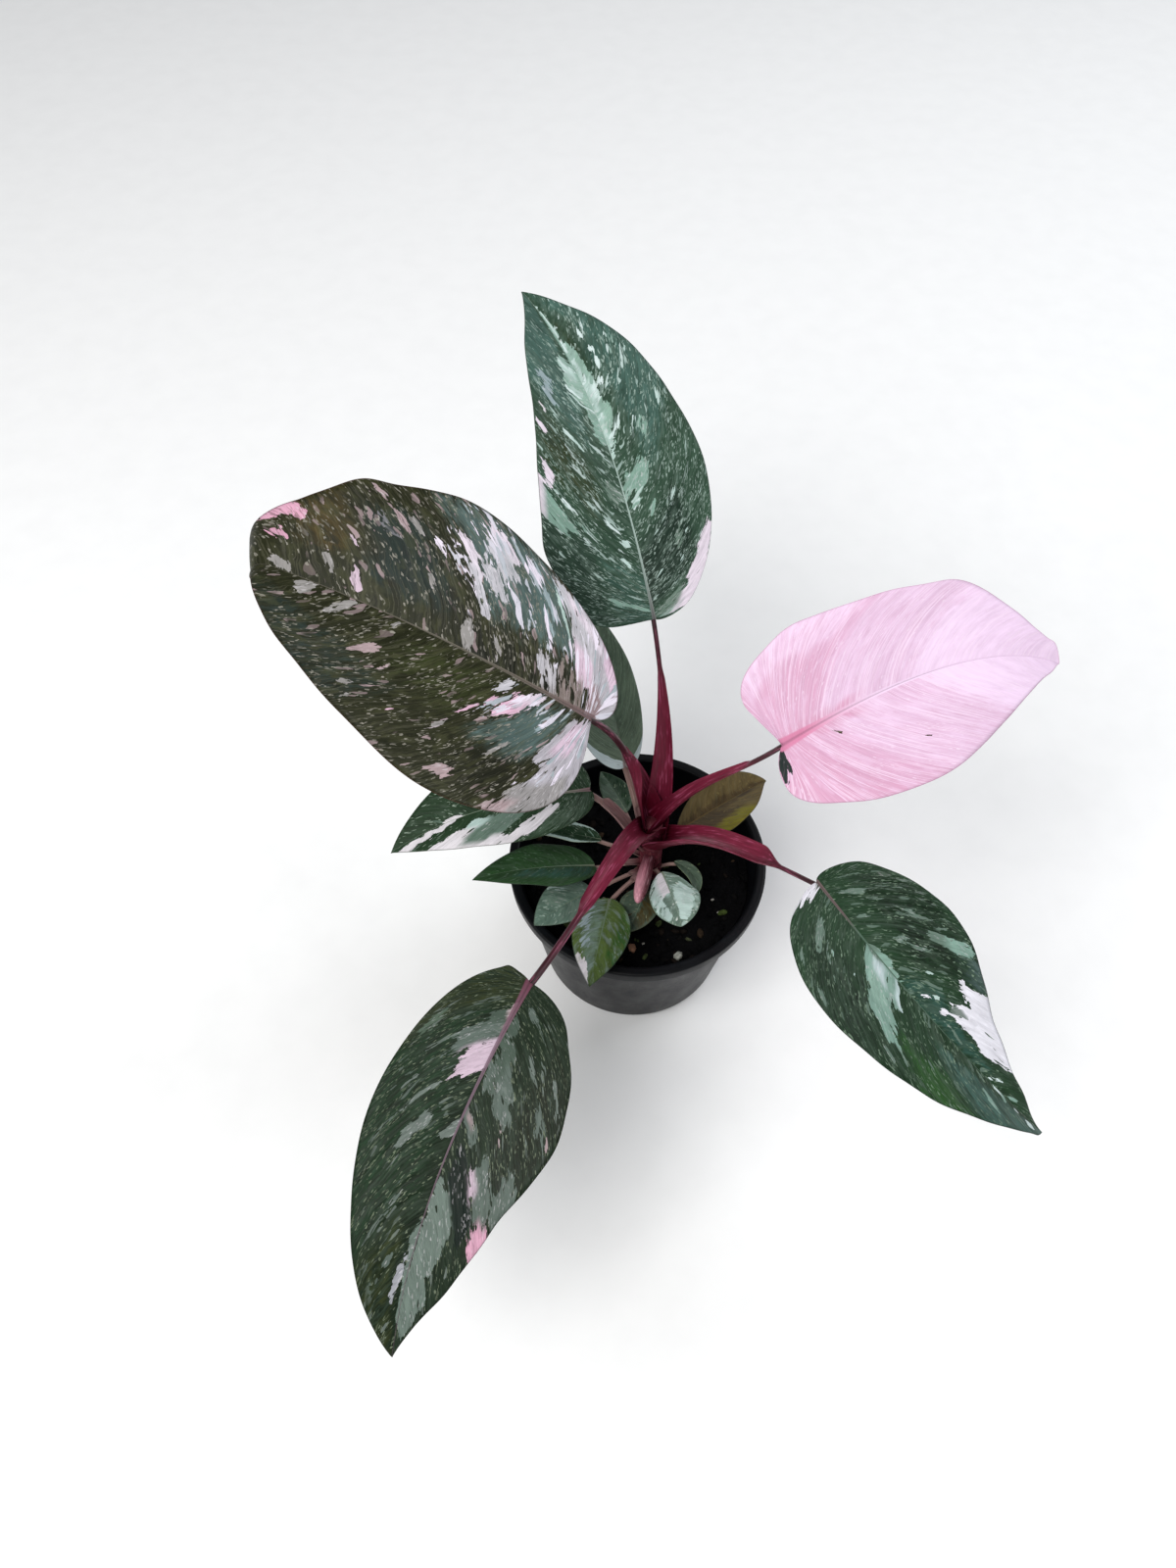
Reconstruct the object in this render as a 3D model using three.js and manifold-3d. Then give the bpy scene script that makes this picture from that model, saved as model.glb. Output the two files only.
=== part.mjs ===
// A young pink princess philodendron growing in a black nursery pot.
//
// Units are millimetres and +Z is up. The origin is the centre of the pot's underside.
// Angles are in degrees. A heading turns anticlockwise from +X, seen from above, and a pitch
// is measured up from the horizontal. Left and right are seen by someone who looks along a
// leaf from its stalk to its tip.
import * as THREE from 'three';
import { mergeVertices } from 'three/addons/utils/BufferGeometryUtils.js';
import Module from 'manifold-3d';

const wasm = await Module();
wasm.setup();

// ------------------------------------------------------------------ driving dimensions

const GAP = 0.3; // clearance between two pieces that touch

const POT = {
  height: 80,
  rimRadius: 60,
  baseRadius: 45,
  wall: 1.2,
  floor: 2,
  lipHeight: 7,
  lipWidth: 3.4,
  baseRound: 3,
  lipRound: 1,
  sides: 48,
};

const DRAIN = { count: 6, radius: 4.5, ring: 33, sides: 12 };

const SOIL = { surface: 66, rings: 7, sides: 32, seed: 11 };
const GRAIN = { count: 20, smallest: 1.1, largest: 1.9, fromWall: 5 };

// The soil's surface is the sum of these waves: height, and turn in radians per mm along X and Y.
const SOIL_WAVES = [
  { height: 0.5, x: 0.31, y: 0.27, phase: 0.9 },
  { height: 0.35, x: 0.63, y: -0.41, phase: 0 },
  { height: 0.25, x: 0.74, y: 0.52, phase: 1.3 },
];

const STEM = { x: 6, y: 1, bottom: 46, top: 109, radius: 5.8, taper: 1.6, sides: 16 };
const SCAR = { spacing: 3.5, rise: 0.5, below: 1.6, crest: 0.6, above: 0.4 };
const ROOT_OFFSET = 3.4; // from the stem's axis to the start of a stalk, inside the stem

// The veins' curves are set by lag, bow and spread, and swellEase is how fast the margin's swells
// start from both ends of the leaf.
const BLADE = {
  thickness: 0.8, veinLag: 1.5, veinBow: 0.3, veinSpread: 0.6, wavePhase: 1.1, swellEase: 8,
};

// A stalk runs on under the blade for a share of its radius, and its curve's handles are a
// share of the distance between its ends.
const STALK = { underBlade: 1.2, handle: 0.36 };

// The wings of a sheath: how suddenly they end, how far up they clasp the stem, how they
// narrow, the depth under them, and their rise as a share of their width along the sheath and
// where they clasp. round and hollow are the fullness of the stalk's upper side.
const SHEATH = {
  fade: 0.03, clasp: 0.2, narrowing: 1.3, depth: 0.42, rise: 0.55, claspRise: 1.05, round: 0.8, hollow: -0.1,
};

// Rows run from stalk to tip along the veins, and columns from the midrib to the margin.
const LARGE_MESH = { rows: 28, columns: 4, stalkSteps: 14, stalkSides: 10 };
const SMALL_MESH = { rows: 10, columns: 3, stalkSteps: 7, stalkSides: 6 };
const MIDRIB_STEPS = 48;

// Each leaf names:
//   base        where the stalk meets the blade
//   length      along the midrib
//   heading, pitch            of the midrib at the base
//   droop, droopPower         pitch lost towards the tip
//   curl, curlFrom            extra pitch lost past that share of the length
//   bend, bendPower           heading gained towards the tip
//   roll, twist               left margin raised at the base, and more of it at the tip
//   halfWidth, widest, taper, lobe, fold    as [left, right]: half the width, where along the
//                             length it is widest, how the tip narrows (1 is straight), how far
//                             the base lobe reaches back, and how much the half is raised
//   arch        how far the margin sinks, as a share of the half width
//   swells      as [left, right]: places where the margin swells out or dips in, each as its
//               share of the turn from stalk to tip, its width as such a share, and its height
//   wave, waves               height and number of the margin's waves
// and its stalk names:
//   root        height of its node on the stem, heading and pitch there
//   end         heading and pitch where it meets the blade
//   radius      of the round part
//   sheath      share of the length with wings, and their half width at the bottom and the top
//   fade        how suddenly the wings end, where it isn't SHEATH.fade
//   offset      of the start from the stem's axis, where it isn't ROOT_OFFSET
const LARGE_LEAVES = [
  {
    name: 'left_leaf', colour: 0x3c4a33,
    base: [-22, -15.5, 208], length: 152, heading: 159, pitch: 20,
    droop: 24, droopPower: 1.5, curl: 110, curlFrom: 0.86, bend: -3, bendPower: 1.5,
    roll: -18, twist: -6, halfWidth: [53, 50], widest: [0.28, 0.5], taper: [1.08, 0.82],
    lobe: [10, 12], fold: [9, 13], arch: 0.1, wave: 1.2, waves: 2.5,
    swells: [
      [[0.49, 0.07, -1.6], [0.7, 0.06, 1.8], [0.84, 0.04, -2], [0.96, 0.03, 1.6]],
      [[0.5, 0.08, 1], [0.66, 0.04, 2.6], [0.86, 0.04, 3.4]],
    ],
    stalk: { root: [107, 124, 67], end: [-126, 57], radius: 1.5, sheath: [0.46, 5.8, 4.2] },
  },
  {
    name: 'back_leaf', colour: 0x2f4f3c,
    base: [3, 44, 196], length: 153.5, heading: 106, pitch: 36,
    droop: 28, droopPower: 1.5, curl: 0, curlFrom: 0.9, bend: 20, bendPower: 1.6,
    roll: -2, twist: 5, halfWidth: [38, 36], widest: [0.23, 0.4], taper: [1, 0.94],
    lobe: [2, 3], fold: [12, 12], arch: 0.05, wave: 1, waves: 2.5,
    swells: [
      [[0.05, 0.06, 1.6], [0.33, 0.04, 1.4], [0.7, 0.1, 2.6]],
      [[0.13, 0.05, 1], [0.5, 0.07, -1.4], [0.66, 0.1, 0.8]],
    ],
    stalk: { root: [99, 70, 75], end: [114, 63], radius: 1, sheath: [0.77, 6.4, 1.3] },
  },
  {
    name: 'pink_leaf', colour: 0xe9b3cb,
    base: [49.5, -18.5, 196], length: 132.5, heading: 26, pitch: 18,
    droop: 55, droopPower: 1.5, curl: 0, curlFrom: 0.9, bend: -11, bendPower: 1.8,
    roll: 20, twist: 5, halfWidth: [37, 38.5], widest: [0.29, 0.33], taper: [0.8, 1.15],
    lobe: [9.5, 13], fold: [12, 10], arch: 0.05, wave: 1, waves: 2.5,
    swells: [
      [[0.05, 0.04, 1.6], [0.31, 0.04, 1.4], [0.42, 0.05, -0.8],
        [0.6, 0.06, 4.4], [0.76, 0.04, -1.2], [0.89, 0.05, 3.2]],
      [[0.11, 0.04, 1.4], [0.24, 0.05, -1], [0.43, 0.06, 0.8], [0.84, 0.06, 1]],
    ],
    stalk: { root: [105, 8, 72], end: [-22, 62], radius: 1.1, sheath: [0.77, 5, 1.5], offset: 0.5 },
  },
  {
    name: 'right_leaf', colour: 0x30503c,
    base: [63.5, -59.5, 165], length: 126, heading: -53, pitch: -12,
    droop: 23, droopPower: 1.5, curl: 0, curlFrom: 0.9, bend: 25, bendPower: 1.7,
    roll: -3, twist: -20, halfWidth: [37, 36.5], widest: [0.36, 0.34], taper: [1.37, 0.95],
    lobe: [5, 1], fold: [9, 11], arch: 0.05, wave: 1, waves: 2.5,
    swells: [
      [[0.16, 0.06, 2.2], [0.4, 0.08, 2], [0.62, 0.04, -1], [0.79, 0.05, 1.8]],
      [[0.09, 0.06, -2.8], [0.46, 0.12, 1.4], [0.6, 0.05, 0.8], [0.89, 0.04, 2]],
    ],
    stalk: { root: [93, -33, 60], end: [-42, 19], radius: 0.95, sheath: [0.78, 6, 4.6], fade: 0.06 },
  },
  {
    name: 'front_leaf', colour: 0x33493a,
    base: [-44.5, -94, 148], length: 145.5, heading: -118, pitch: -14,
    droop: 31, droopPower: 1.5, curl: 0, curlFrom: 0.9, bend: 18, bendPower: 1.8,
    roll: -3, twist: 0, halfWidth: [35, 33], widest: [0.31, 0.39], taper: [1.16, 1.02],
    lobe: [0, 6], fold: [11, 12], arch: 0.05, wave: 1, waves: 2.5,
    swells: [
      [[0.21, 0.05, -1.6], [0.4, 0.06, 1.8], [0.54, 0.04, -1.2], [0.7, 0.05, 1]],
      [[0.06, 0.05, 4], [0.76, 0.16, 1.8]],
    ],
    stalk: { root: [103, -121, 67], end: [-123, 7], radius: 1.4, sheath: [0.655, 6.2, 2.7] },
  },
];

const SMALL_LEAF_SHAPE = {
  droopPower: 1.5, curl: 0, curlFrom: 0.9, bendPower: 1.5, twist: 0, fold: [12, 12],
  arch: 0.05, wave: 0.6, waves: 2, swells: [[], []],
};

const SMALL_LEAVES = [
  {
    name: 'striped_leaf', colour: 0x7b9b86,
    base: [-22.5, 6, 128], length: 92, heading: -167, pitch: 7, droop: 36, bend: 10, roll: -5,
    halfWidth: [21, 24], widest: [0.36, 0.36], taper: [1, 1], lobe: [3, 3],
    stalk: { root: [86, 175, 60], end: [170, 30], radius: 1.4, sheath: [0.8, 4, 2.8] },
  },
  {
    name: 'shaded_leaf', colour: 0x4c6b58,
    base: [-7, 17, 130], length: 90, heading: 103, pitch: 25, droop: 34, bend: 5, roll: 0,
    halfWidth: [20, 13], widest: [0.38, 0.38], taper: [1, 1], lobe: [3, 3],
    stalk: { root: [84, 125, 66], end: [126, 60], radius: 1.4, sheath: [0.5, 2.6, 2] },
  },
  {
    name: 'fading_leaf', colour: 0x77713a,
    base: [18, 8, 90], length: 50, heading: 29, pitch: 14, droop: 18, bend: 4, roll: -24,
    halfWidth: [19, 22], widest: [0.62, 0.42], taper: [0.62, 1.3], lobe: [1, 2],
    stalk: { root: [80, 35, 50], end: [38, 10], radius: 1.2, sheath: [0.4, 2, 1.5] },
  },
  {
    name: 'low_left_leaf', colour: 0x2b4a30,
    base: [-20, -8, 86], length: 58, heading: -166, pitch: 22, droop: 24, bend: 3, roll: 10,
    halfWidth: [13, 13], widest: [0.38, 0.38], taper: [1, 1], lobe: [1, 1],
    stalk: { root: [75, -160, 45], end: [-165, 20], radius: 1.1, sheath: [0.4, 2, 1.5] },
  },
  {
    name: 'silver_leaf', colour: 0x6d8b7c,
    base: [-21, -17, 79], length: 34, heading: -141, pitch: 20, droop: 26, bend: 0, roll: 6,
    halfWidth: [12, 12], widest: [0.4, 0.4], taper: [0.9, 0.9], lobe: [1, 1],
    stalk: { root: [71, -140, 40], end: [-141, 15], radius: 1, sheath: [0.3, 1.6, 1.2] },
  },
  {
    name: 'low_front_leaf', colour: 0x4d7557,
    base: [-13, -23, 82], length: 48, heading: -101, pitch: 18, droop: 24, bend: 0, roll: 0,
    halfWidth: [13, 13], widest: [0.45, 0.45], taper: [1, 1], lobe: [1, 1],
    stalk: { root: [72, -118, 45], end: [-115, 25], radius: 1.1, sheath: [0.4, 2, 1.5] },
  },
  {
    name: 'narrow_leaf', colour: 0x6f7c66,
    base: [-17, 3, 91], length: 36, heading: 178, pitch: 18, droop: 20, bend: 0, roll: 0,
    halfWidth: [6, 6], widest: [0.4, 0.4], taper: [1, 1], lobe: [0, 0], fold: [30, 30],
    stalk: { root: [79, 178, 50], end: [172, 25], radius: 1, sheath: [0.3, 1.6, 1.2] },
  },
  {
    name: 'olive_leaf', colour: 0x56614a,
    base: [4, -17, 80], length: 23, heading: -112, pitch: 8, droop: 30, bend: 0, roll: 0,
    halfWidth: [9, 9], widest: [0.45, 0.45], taper: [0.9, 0.9], lobe: [0, 0],
    stalk: { root: [70, -95, 50], end: [-98, 20], radius: 1, sheath: [0.3, 1.6, 1.2] },
  },
  {
    name: 'rear_leaf', colour: 0x66705a,
    base: [-5, 20.5, 87], length: 25, heading: 120, pitch: 16, droop: 24, bend: 0, roll: 0,
    halfWidth: [7, 7], widest: [0.4, 0.4], taper: [1, 1], lobe: [0, 0],
    stalk: { root: [70, 118, 50], end: [118, 25], radius: 1, sheath: [0.3, 1.6, 1.2] },
  },
  {
    name: 'mint_leaf', colour: 0xb9cdc4,
    base: [11, -10, 84], length: 29, heading: -74, pitch: 14, droop: 40, bend: 0, roll: 0,
    halfWidth: [12, 11], widest: [0.6, 0.55], taper: [0.75, 0.85], lobe: [1, 1], wave: 1.2,
    stalk: { root: [73, -62, 60], end: [-60, 45], radius: 1, sheath: [0.3, 1.6, 1.2] },
  },
  {
    name: 'curled_leaf', colour: 0x5c6e50,
    base: [17, -2.5, 81], length: 23, heading: -30, pitch: 6, droop: 12, bend: -90, roll: 0,
    halfWidth: [3.6, 3.6], widest: [0.45, 0.45], taper: [1, 1], lobe: [0, 0], fold: [25, 25], wave: 0.3,
    stalk: { root: [71, -15, 45], end: [-25, 30], radius: 0.9, sheath: [0.3, 1.5, 1.1] },
  },
];

// The blunt sheath of a side bud, on its node of the stem. Its profile runs from the root to
// the tip as shares of the radius and the length.
const BUD_SHEATH = {
  finish: { color: 0xb56a80, roughness: 0.4 }, root: [86, -103, 6], length: 27, radius: 3.4, sides: 8,
  profile: [[0, 0], [0.75, 0], [1, 0.45], [0.85, 0.8], [0.5, 0.96], [0, 1]],
};

const POT_FINISH = { color: 0x17191c, roughness: 0.45 };
const SOIL_FINISH = { color: 0x1d1a17, roughness: 0.95 };
const STEM_FINISH = { color: 0x5a2530, roughness: 0.5 };
const STALK_FINISH = { color: 0x8a2848, roughness: 0.4 };
const PALE_STALK_FINISH = { color: 0xa98d85, roughness: 0.4 };
const BLADE_ROUGHNESS = 0.35;

// --------------------------------------------------------------------- small helpers

const radians = THREE.MathUtils.degToRad;
const lerp = THREE.MathUtils.lerp;
const smoothstep = THREE.MathUtils.smoothstep;

function direction(heading, pitch) {
  const level = Math.cos(radians(pitch));
  return new THREE.Vector3(
    level * Math.cos(radians(heading)), level * Math.sin(radians(heading)), Math.sin(radians(pitch)));
}

// The level direction to the left of a heading.
function leftOf(heading) {
  return direction(heading + 90, 0);
}

function geometryFrom(points, triangles) {
  const geometry = new THREE.BufferGeometry();
  const numbers = points.flatMap((p) => p.toArray());
  geometry.setAttribute('position', new THREE.Float32BufferAttribute(numbers, 3));
  geometry.setIndex(triangles.flat());
  return geometry;
}

// --------------------------------------------------------------------------- solids

// The closed geometry as a solid, with its shared points merged and its flat triangles left out.
function solidFrom(geometry) {
  const bare = geometry.clone();
  bare.deleteAttribute('normal');
  bare.deleteAttribute('uv');
  const merged = mergeVertices(bare, 1e-4);
  const index = merged.index.array;
  const triVerts = [];
  for (let i = 0; i < index.length; i += 3) {
    const [a, b, c] = [index[i], index[i + 1], index[i + 2]];
    if (a !== b && b !== c && c !== a) triVerts.push(a, b, c);
  }
  return new wasm.Manifold(new wasm.Mesh({
    numProp: 3,
    vertProperties: new Float32Array(merged.attributes.position.array),
    triVerts: new Uint32Array(triVerts),
  }));
}

// The largest of the loose bodies that a cut can leave.
function mainBody(solid) {
  return solid.decompose().reduce((a, b) => (a.volume() > b.volume() ? a : b));
}

function geometryOf(solid) {
  const mesh = solid.getMesh();
  const geometry = new THREE.BufferGeometry();
  geometry.setAttribute('position', new THREE.Float32BufferAttribute(mesh.vertProperties, 3));
  geometry.setIndex(Array.from(mesh.triVerts));
  return geometry;
}

function namedMesh(name, geometry, finish) {
  const material = new THREE.MeshStandardMaterial({ ...finish, metalness: 0 });
  const shaded = geometry.toNonIndexed();
  shaded.computeVertexNormals();
  const mesh = new THREE.Mesh(shaded, material);
  mesh.name = name;
  return mesh;
}

// A closed body through rings of points that all run the same way round, with flat ends.
function loft(rings, endShape) {
  const sides = rings[0].length;
  const points = rings.flat();
  const triangles = [];
  for (let k = 0; k < rings.length - 1; k++) {
    for (let i = 0; i < sides; i++) {
      const a = k * sides + i;
      const b = k * sides + (i + 1) % sides;
      triangles.push([a, b, b + sides], [a, b + sides, a + sides]);
    }
  }
  const last = (rings.length - 1) * sides;
  for (const [a, b, c] of THREE.ShapeUtils.triangulateShape(endShape, [])) {
    triangles.push([c, b, a], [last + a, last + b, last + c]);
  }
  return geometryFrom(points, triangles);
}

// ------------------------------------------------------------------------------- pot

function potSolid() {
  const { height, rimRadius, baseRadius, wall, floor, baseRound } = POT;
  const { lipHeight, lipWidth, lipRound } = POT;
  const bodyTop = rimRadius - lipWidth + wall;
  const lipBottom = height - lipHeight;
  const roundMiddle = baseRound * (1 - Math.SQRT1_2);
  const profile = [
    [0, 0],
    [baseRadius - baseRound, 0],
    [baseRadius - roundMiddle, roundMiddle],
    [baseRadius, baseRound],
    [bodyTop, lipBottom - lipWidth / 2],
    [rimRadius - lipRound, lipBottom],
    [rimRadius, lipBottom + lipRound],
    [rimRadius, height - lipRound],
    [rimRadius - lipRound, height],
    [rimRadius - lipWidth + lipRound, height],
    [rimRadius - lipWidth, height - lipRound],
    [bodyTop - wall, lipBottom - lipWidth / 2],
    [baseRadius - wall, floor + baseRound],
    [baseRadius - wall - baseRound, floor],
    [0, floor],
  ].map(([r, z]) => new THREE.Vector2(r, z));
  let pot = solidFrom(new THREE.LatheGeometry(profile, POT.sides).rotateX(Math.PI / 2));
  for (let i = 0; i < DRAIN.count; i++) {
    const angle = (2 * Math.PI * i) / DRAIN.count;
    const depth = 2 * (floor + GAP);
    const hole = new THREE.CylinderGeometry(DRAIN.radius, DRAIN.radius, depth, DRAIN.sides)
      .rotateX(Math.PI / 2)
      .translate(DRAIN.ring * Math.cos(angle), DRAIN.ring * Math.sin(angle), 0);
    pot = pot.subtract(solidFrom(hole));
  }
  return pot;
}

// Radius of the pot's inner wall at a height, up to the bottom of its lip.
function innerRadius(z) {
  const { height, rimRadius, baseRadius, wall, floor, lipHeight, lipWidth, baseRound } = POT;
  const low = floor + baseRound;
  const high = height - lipHeight - lipWidth / 2;
  return lerp(baseRadius - wall, rimRadius - lipWidth, (z - low) / (high - low));
}

// ------------------------------------------------------------------------------ soil

function soilHeight(x, y) {
  const bumps = SOIL_WAVES.map((wave) => wave.height * Math.sin(wave.x * x + wave.y * y + wave.phase));
  return bumps.reduce((sum, bump) => sum + bump, SOIL.surface);
}

function seededRandom(seed) {
  let state = seed;
  return () => {
    state = (state * 16807) % 2147483647;
    return state / 2147483647;
  };
}

function soilSolid(stemCutter) {
  const low = POT.floor + POT.baseRound;
  const rings = [
    ring(innerRadius(low) - POT.baseRound - GAP, () => POT.floor + GAP),
    ring(innerRadius(low) - GAP, () => low + GAP),
  ];
  const edge = innerRadius(SOIL.surface) - GAP;
  for (let k = 0; k < SOIL.rings; k++) rings.push(ring(edge * (1 - k / SOIL.rings), soilHeight));
  const endShape = rings[0].map((p) => new THREE.Vector2(p.x, p.y));
  let soil = solidFrom(loft(rings, endShape));

  const random = seededRandom(SOIL.seed);
  for (let i = 0; i < GRAIN.count; i++) {
    const reach = (edge - GRAIN.fromWall) * Math.sqrt(random());
    const angle = 2 * Math.PI * random();
    const [x, y] = [reach * Math.cos(angle), reach * Math.sin(angle)];
    const grain = new THREE.IcosahedronGeometry(lerp(GRAIN.smallest, GRAIN.largest, random()), 0)
      .rotateX(2 * Math.PI * random())
      .translate(x, y, soilHeight(x, y));
    soil = soil.add(solidFrom(grain));
  }
  return soil.subtract(stemCutter);
}

function ring(radius, height) {
  return Array.from({ length: SOIL.sides }, (_, i) => {
    const angle = (2 * Math.PI * i) / SOIL.sides;
    const [x, y] = [radius * Math.cos(angle), radius * Math.sin(angle)];
    return new THREE.Vector3(x, y, height(x, y));
  });
}

// ------------------------------------------------------------------------------ stem

// The stem carries a ring-shaped scar at each of these heights and ends in a dome.
function stemSolid(scarHeights, grow) {
  const { x, y, bottom, top, radius, taper, sides } = STEM;
  const profile = [[0, bottom - grow], [radius + grow, bottom - grow]];
  for (const z of scarHeights) {
    const body = radius - taper * (z - bottom) / (top - bottom) + grow;
    profile.push([body, z - SCAR.below], [body + SCAR.rise, z - SCAR.crest], [body, z + SCAR.above]);
  }
  const dome = radius - taper;
  profile.push([dome + grow, top - dome / 2 + grow]);
  profile.push([dome * Math.SQRT1_2 + grow, top - dome / 8 + grow]);
  profile.push([0, top + grow]);
  const points = profile.map(([r, z]) => new THREE.Vector2(r, z));
  return solidFrom(new THREE.LatheGeometry(points, sides).rotateX(Math.PI / 2).translate(x, y, 0));
}

// ---------------------------------------------------------------------------- blades

// Frames along the midrib: place, tangent, left and normal at even steps from base to tip.
function midribFrames(leaf) {
  const steps = MIDRIB_STEPS;
  const frames = [];
  const place = new THREE.Vector3(...leaf.base);
  const angles = (share) => {
    const past = Math.max(0, (share - leaf.curlFrom) / (1 - leaf.curlFrom));
    const pitch = leaf.pitch - leaf.droop * share ** leaf.droopPower - leaf.curl * past ** 1.5;
    return [leaf.heading + leaf.bend * share ** leaf.bendPower, pitch];
  };
  for (let i = 0; i <= steps; i++) {
    const share = i / steps;
    const [heading, pitch] = angles(share);
    const tangent = direction(heading, pitch);
    const roll = radians(leaf.roll + leaf.twist * share);
    const level = leftOf(heading);
    const upright = new THREE.Vector3().crossVectors(tangent, level);
    const left = level.clone().multiplyScalar(Math.cos(roll)).addScaledVector(upright, Math.sin(roll));
    const normal = upright.multiplyScalar(Math.cos(roll)).addScaledVector(level, -Math.sin(roll));
    frames.push({ place: place.clone(), tangent, left, normal });
    place.addScaledVector(direction(...angles(share + 0.5 / steps)), leaf.length / steps);
  }
  return frames;
}

// The highest value of sin(pi * t) * (1 - t), which makes a lobe reach back by its full size.
const LOBE_PEAK = 0.58;

// The half outline at a turn from 0, at the stalk, to pi, at the tip.
function margin(leaf, half, turn) {
  const widest = leaf.widest[half];
  const rise = 2 * leaf.taper[half] * widest / (1 - widest);
  const fall = 2 * leaf.taper[half] - rise;
  const shape = (t) => Math.max(Math.sin(t), 0) ** rise * Math.max(Math.cos(t / 2), 0) ** fall;
  const fullest = shape(2 * Math.asin(Math.sqrt(widest)));
  const back = Math.min(turn / (Math.PI / 2), 1);
  const lobe = leaf.lobe[half] * Math.sin(Math.PI * back) * (1 - back) / LOBE_PEAK;
  const swells = leaf.swells[half].map(([place, width, height]) => (
    height * Math.exp(-(((turn / Math.PI - place) / width) ** 2))));
  const swell = swells.reduce((sum, height) => sum + height, 0);
  const ease = Math.min(BLADE.swellEase * Math.sin(turn), 1);
  return {
    along: leaf.length * (1 - Math.cos(turn)) / 2 - lobe,
    across: leaf.halfWidth[half] * shape(turn) / fullest + swell * ease,
  };
}

// A point of the blade, on the vein that reaches the margin at this turn. reach runs from 0,
// on the midrib, to 1, at the margin.
function bladePoint(leaf, frames, half, turn, reach) {
  const end = margin(leaf, half, turn);
  const start = leaf.length * ((1 - Math.cos(turn)) / 2) ** BLADE.veinLag;
  const bow = start + BLADE.veinBow * (end.along - start);
  const stay = 1 - reach;
  const along = stay * stay * start + 2 * reach * stay * bow + reach * reach * end.along;
  const across = 2 * reach * stay * BLADE.veinSpread * end.across + reach * reach * end.across;

  const position = THREE.MathUtils.clamp(along / leaf.length, 0, 1) * (frames.length - 1);
  const below = Math.min(Math.floor(position), frames.length - 2);
  const [a, b, mix] = [frames[below], frames[below + 1], position - below];
  const blend = (key) => a[key].clone().lerp(b[key], mix);

  const share = across / leaf.halfWidth[half];
  const fold = radians(leaf.fold[half]);
  const phase = 2 * Math.PI * leaf.waves * along / leaf.length + half * BLADE.wavePhase;
  const lift = across * Math.sin(fold) - leaf.arch * leaf.halfWidth[half] * share ** 2
    + leaf.wave * share ** 2 * Math.sin(phase);
  const sideways = (half ? -1 : 1) * across * Math.cos(fold);
  return blend('place')
    .addScaledVector(blend('tangent'), Math.min(along, 0))
    .addScaledVector(blend('left'), sideways)
    .addScaledVector(blend('normal'), lift);
}

// One sheet of triangles over both halves: a point at the base, rows of points, a tip point.
function bladeSheet(leaf, detail) {
  const frames = midribFrames(leaf);
  const { rows, columns } = detail;
  const width = 2 * columns + 1;
  const points = [bladePoint(leaf, frames, 0, 0, 0)];
  for (let i = 1; i < rows; i++) {
    for (let j = -columns; j <= columns; j++) {
      const half = j < 0 ? 1 : 0;
      points.push(bladePoint(leaf, frames, half, (Math.PI * i) / rows, Math.abs(j) / columns));
    }
  }
  const tip = points.push(bladePoint(leaf, frames, 0, Math.PI, 0)) - 1;

  const triangles = [];
  const at = (i, j) => 1 + (i - 1) * width + j;
  for (let j = 0; j < width - 1; j++) {
    triangles.push([0, at(1, j), at(1, j + 1)]);
    for (let i = 1; i < rows - 1; i++) {
      const [a, b, c, d] = [at(i, j), at(i, j + 1), at(i + 1, j + 1), at(i + 1, j)];
      if (j < columns) triangles.push([a, d, b], [b, d, c]);
      else triangles.push([a, d, c], [a, c, b]);
    }
    triangles.push([at(rows - 1, j), tip, at(rows - 1, j + 1)]);
  }
  const edge = [0];
  for (let i = 1; i < rows; i++) edge.push(at(i, 0));
  edge.push(tip);
  for (let i = rows - 1; i > 0; i--) edge.push(at(i, width - 1));
  return { points, triangles, edge };
}

// The sheet thickened evenly to both sides, with the same triangles above and below.
function bladeSolid(leaf, detail, thickness) {
  const { points, triangles, edge } = bladeSheet(leaf, detail);
  const sheet = geometryFrom(points, triangles);
  sheet.computeVertexNormals();
  const normals = sheet.attributes.normal;
  const shift = (side) => points.map((p, i) => (
    new THREE.Vector3().fromBufferAttribute(normals, i).multiplyScalar(side * thickness / 2).add(p)));
  const count = points.length;
  const faces = [...triangles, ...triangles.map(([a, b, c]) => [a + count, c + count, b + count])];
  edge.forEach((a, i) => {
    const b = edge[(i + 1) % edge.length];
    faces.push([a, a + count, b + count], [a, b + count, b]);
  });
  return solidFrom(geometryFrom([...shift(1), ...shift(-1)], faces));
}

// ---------------------------------------------------------------------------- stalks

// The section of a stalk: a round rod above, a shallow gutter with raised wings below.
function stalkSection(stalk, share, sides, grow) {
  const [sheathEnd, wide, narrow] = stalk.sheath;
  const { fade = SHEATH.fade } = stalk;
  const winged = 1 - smoothstep(share, sheathEnd - fade, sheathEnd + fade);
  const clasped = 1 - smoothstep(share, 0, SHEATH.clasp);
  const wing = lerp(wide, narrow, Math.min(share / sheathEnd, 1) ** SHEATH.narrowing);
  const halfWidth = lerp(stalk.radius, wing, winged);
  const depth = lerp(stalk.radius, Math.max(stalk.radius, SHEATH.depth * wing), winged);
  const rise = lerp(SHEATH.rise, SHEATH.claspRise, clasped) * winged * wing;
  const fullness = lerp(SHEATH.round, SHEATH.hollow, winged);
  return Array.from({ length: sides }, (_, i) => {
    const angle = (2 * Math.PI * i) / sides;
    const height = angle < Math.PI ? depth * fullness + grow : depth + grow;
    const x = (halfWidth + grow) * Math.cos(angle);
    return new THREE.Vector2(x, Math.sin(angle) * height + rise * (x / halfWidth) ** 2);
  });
}

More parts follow.
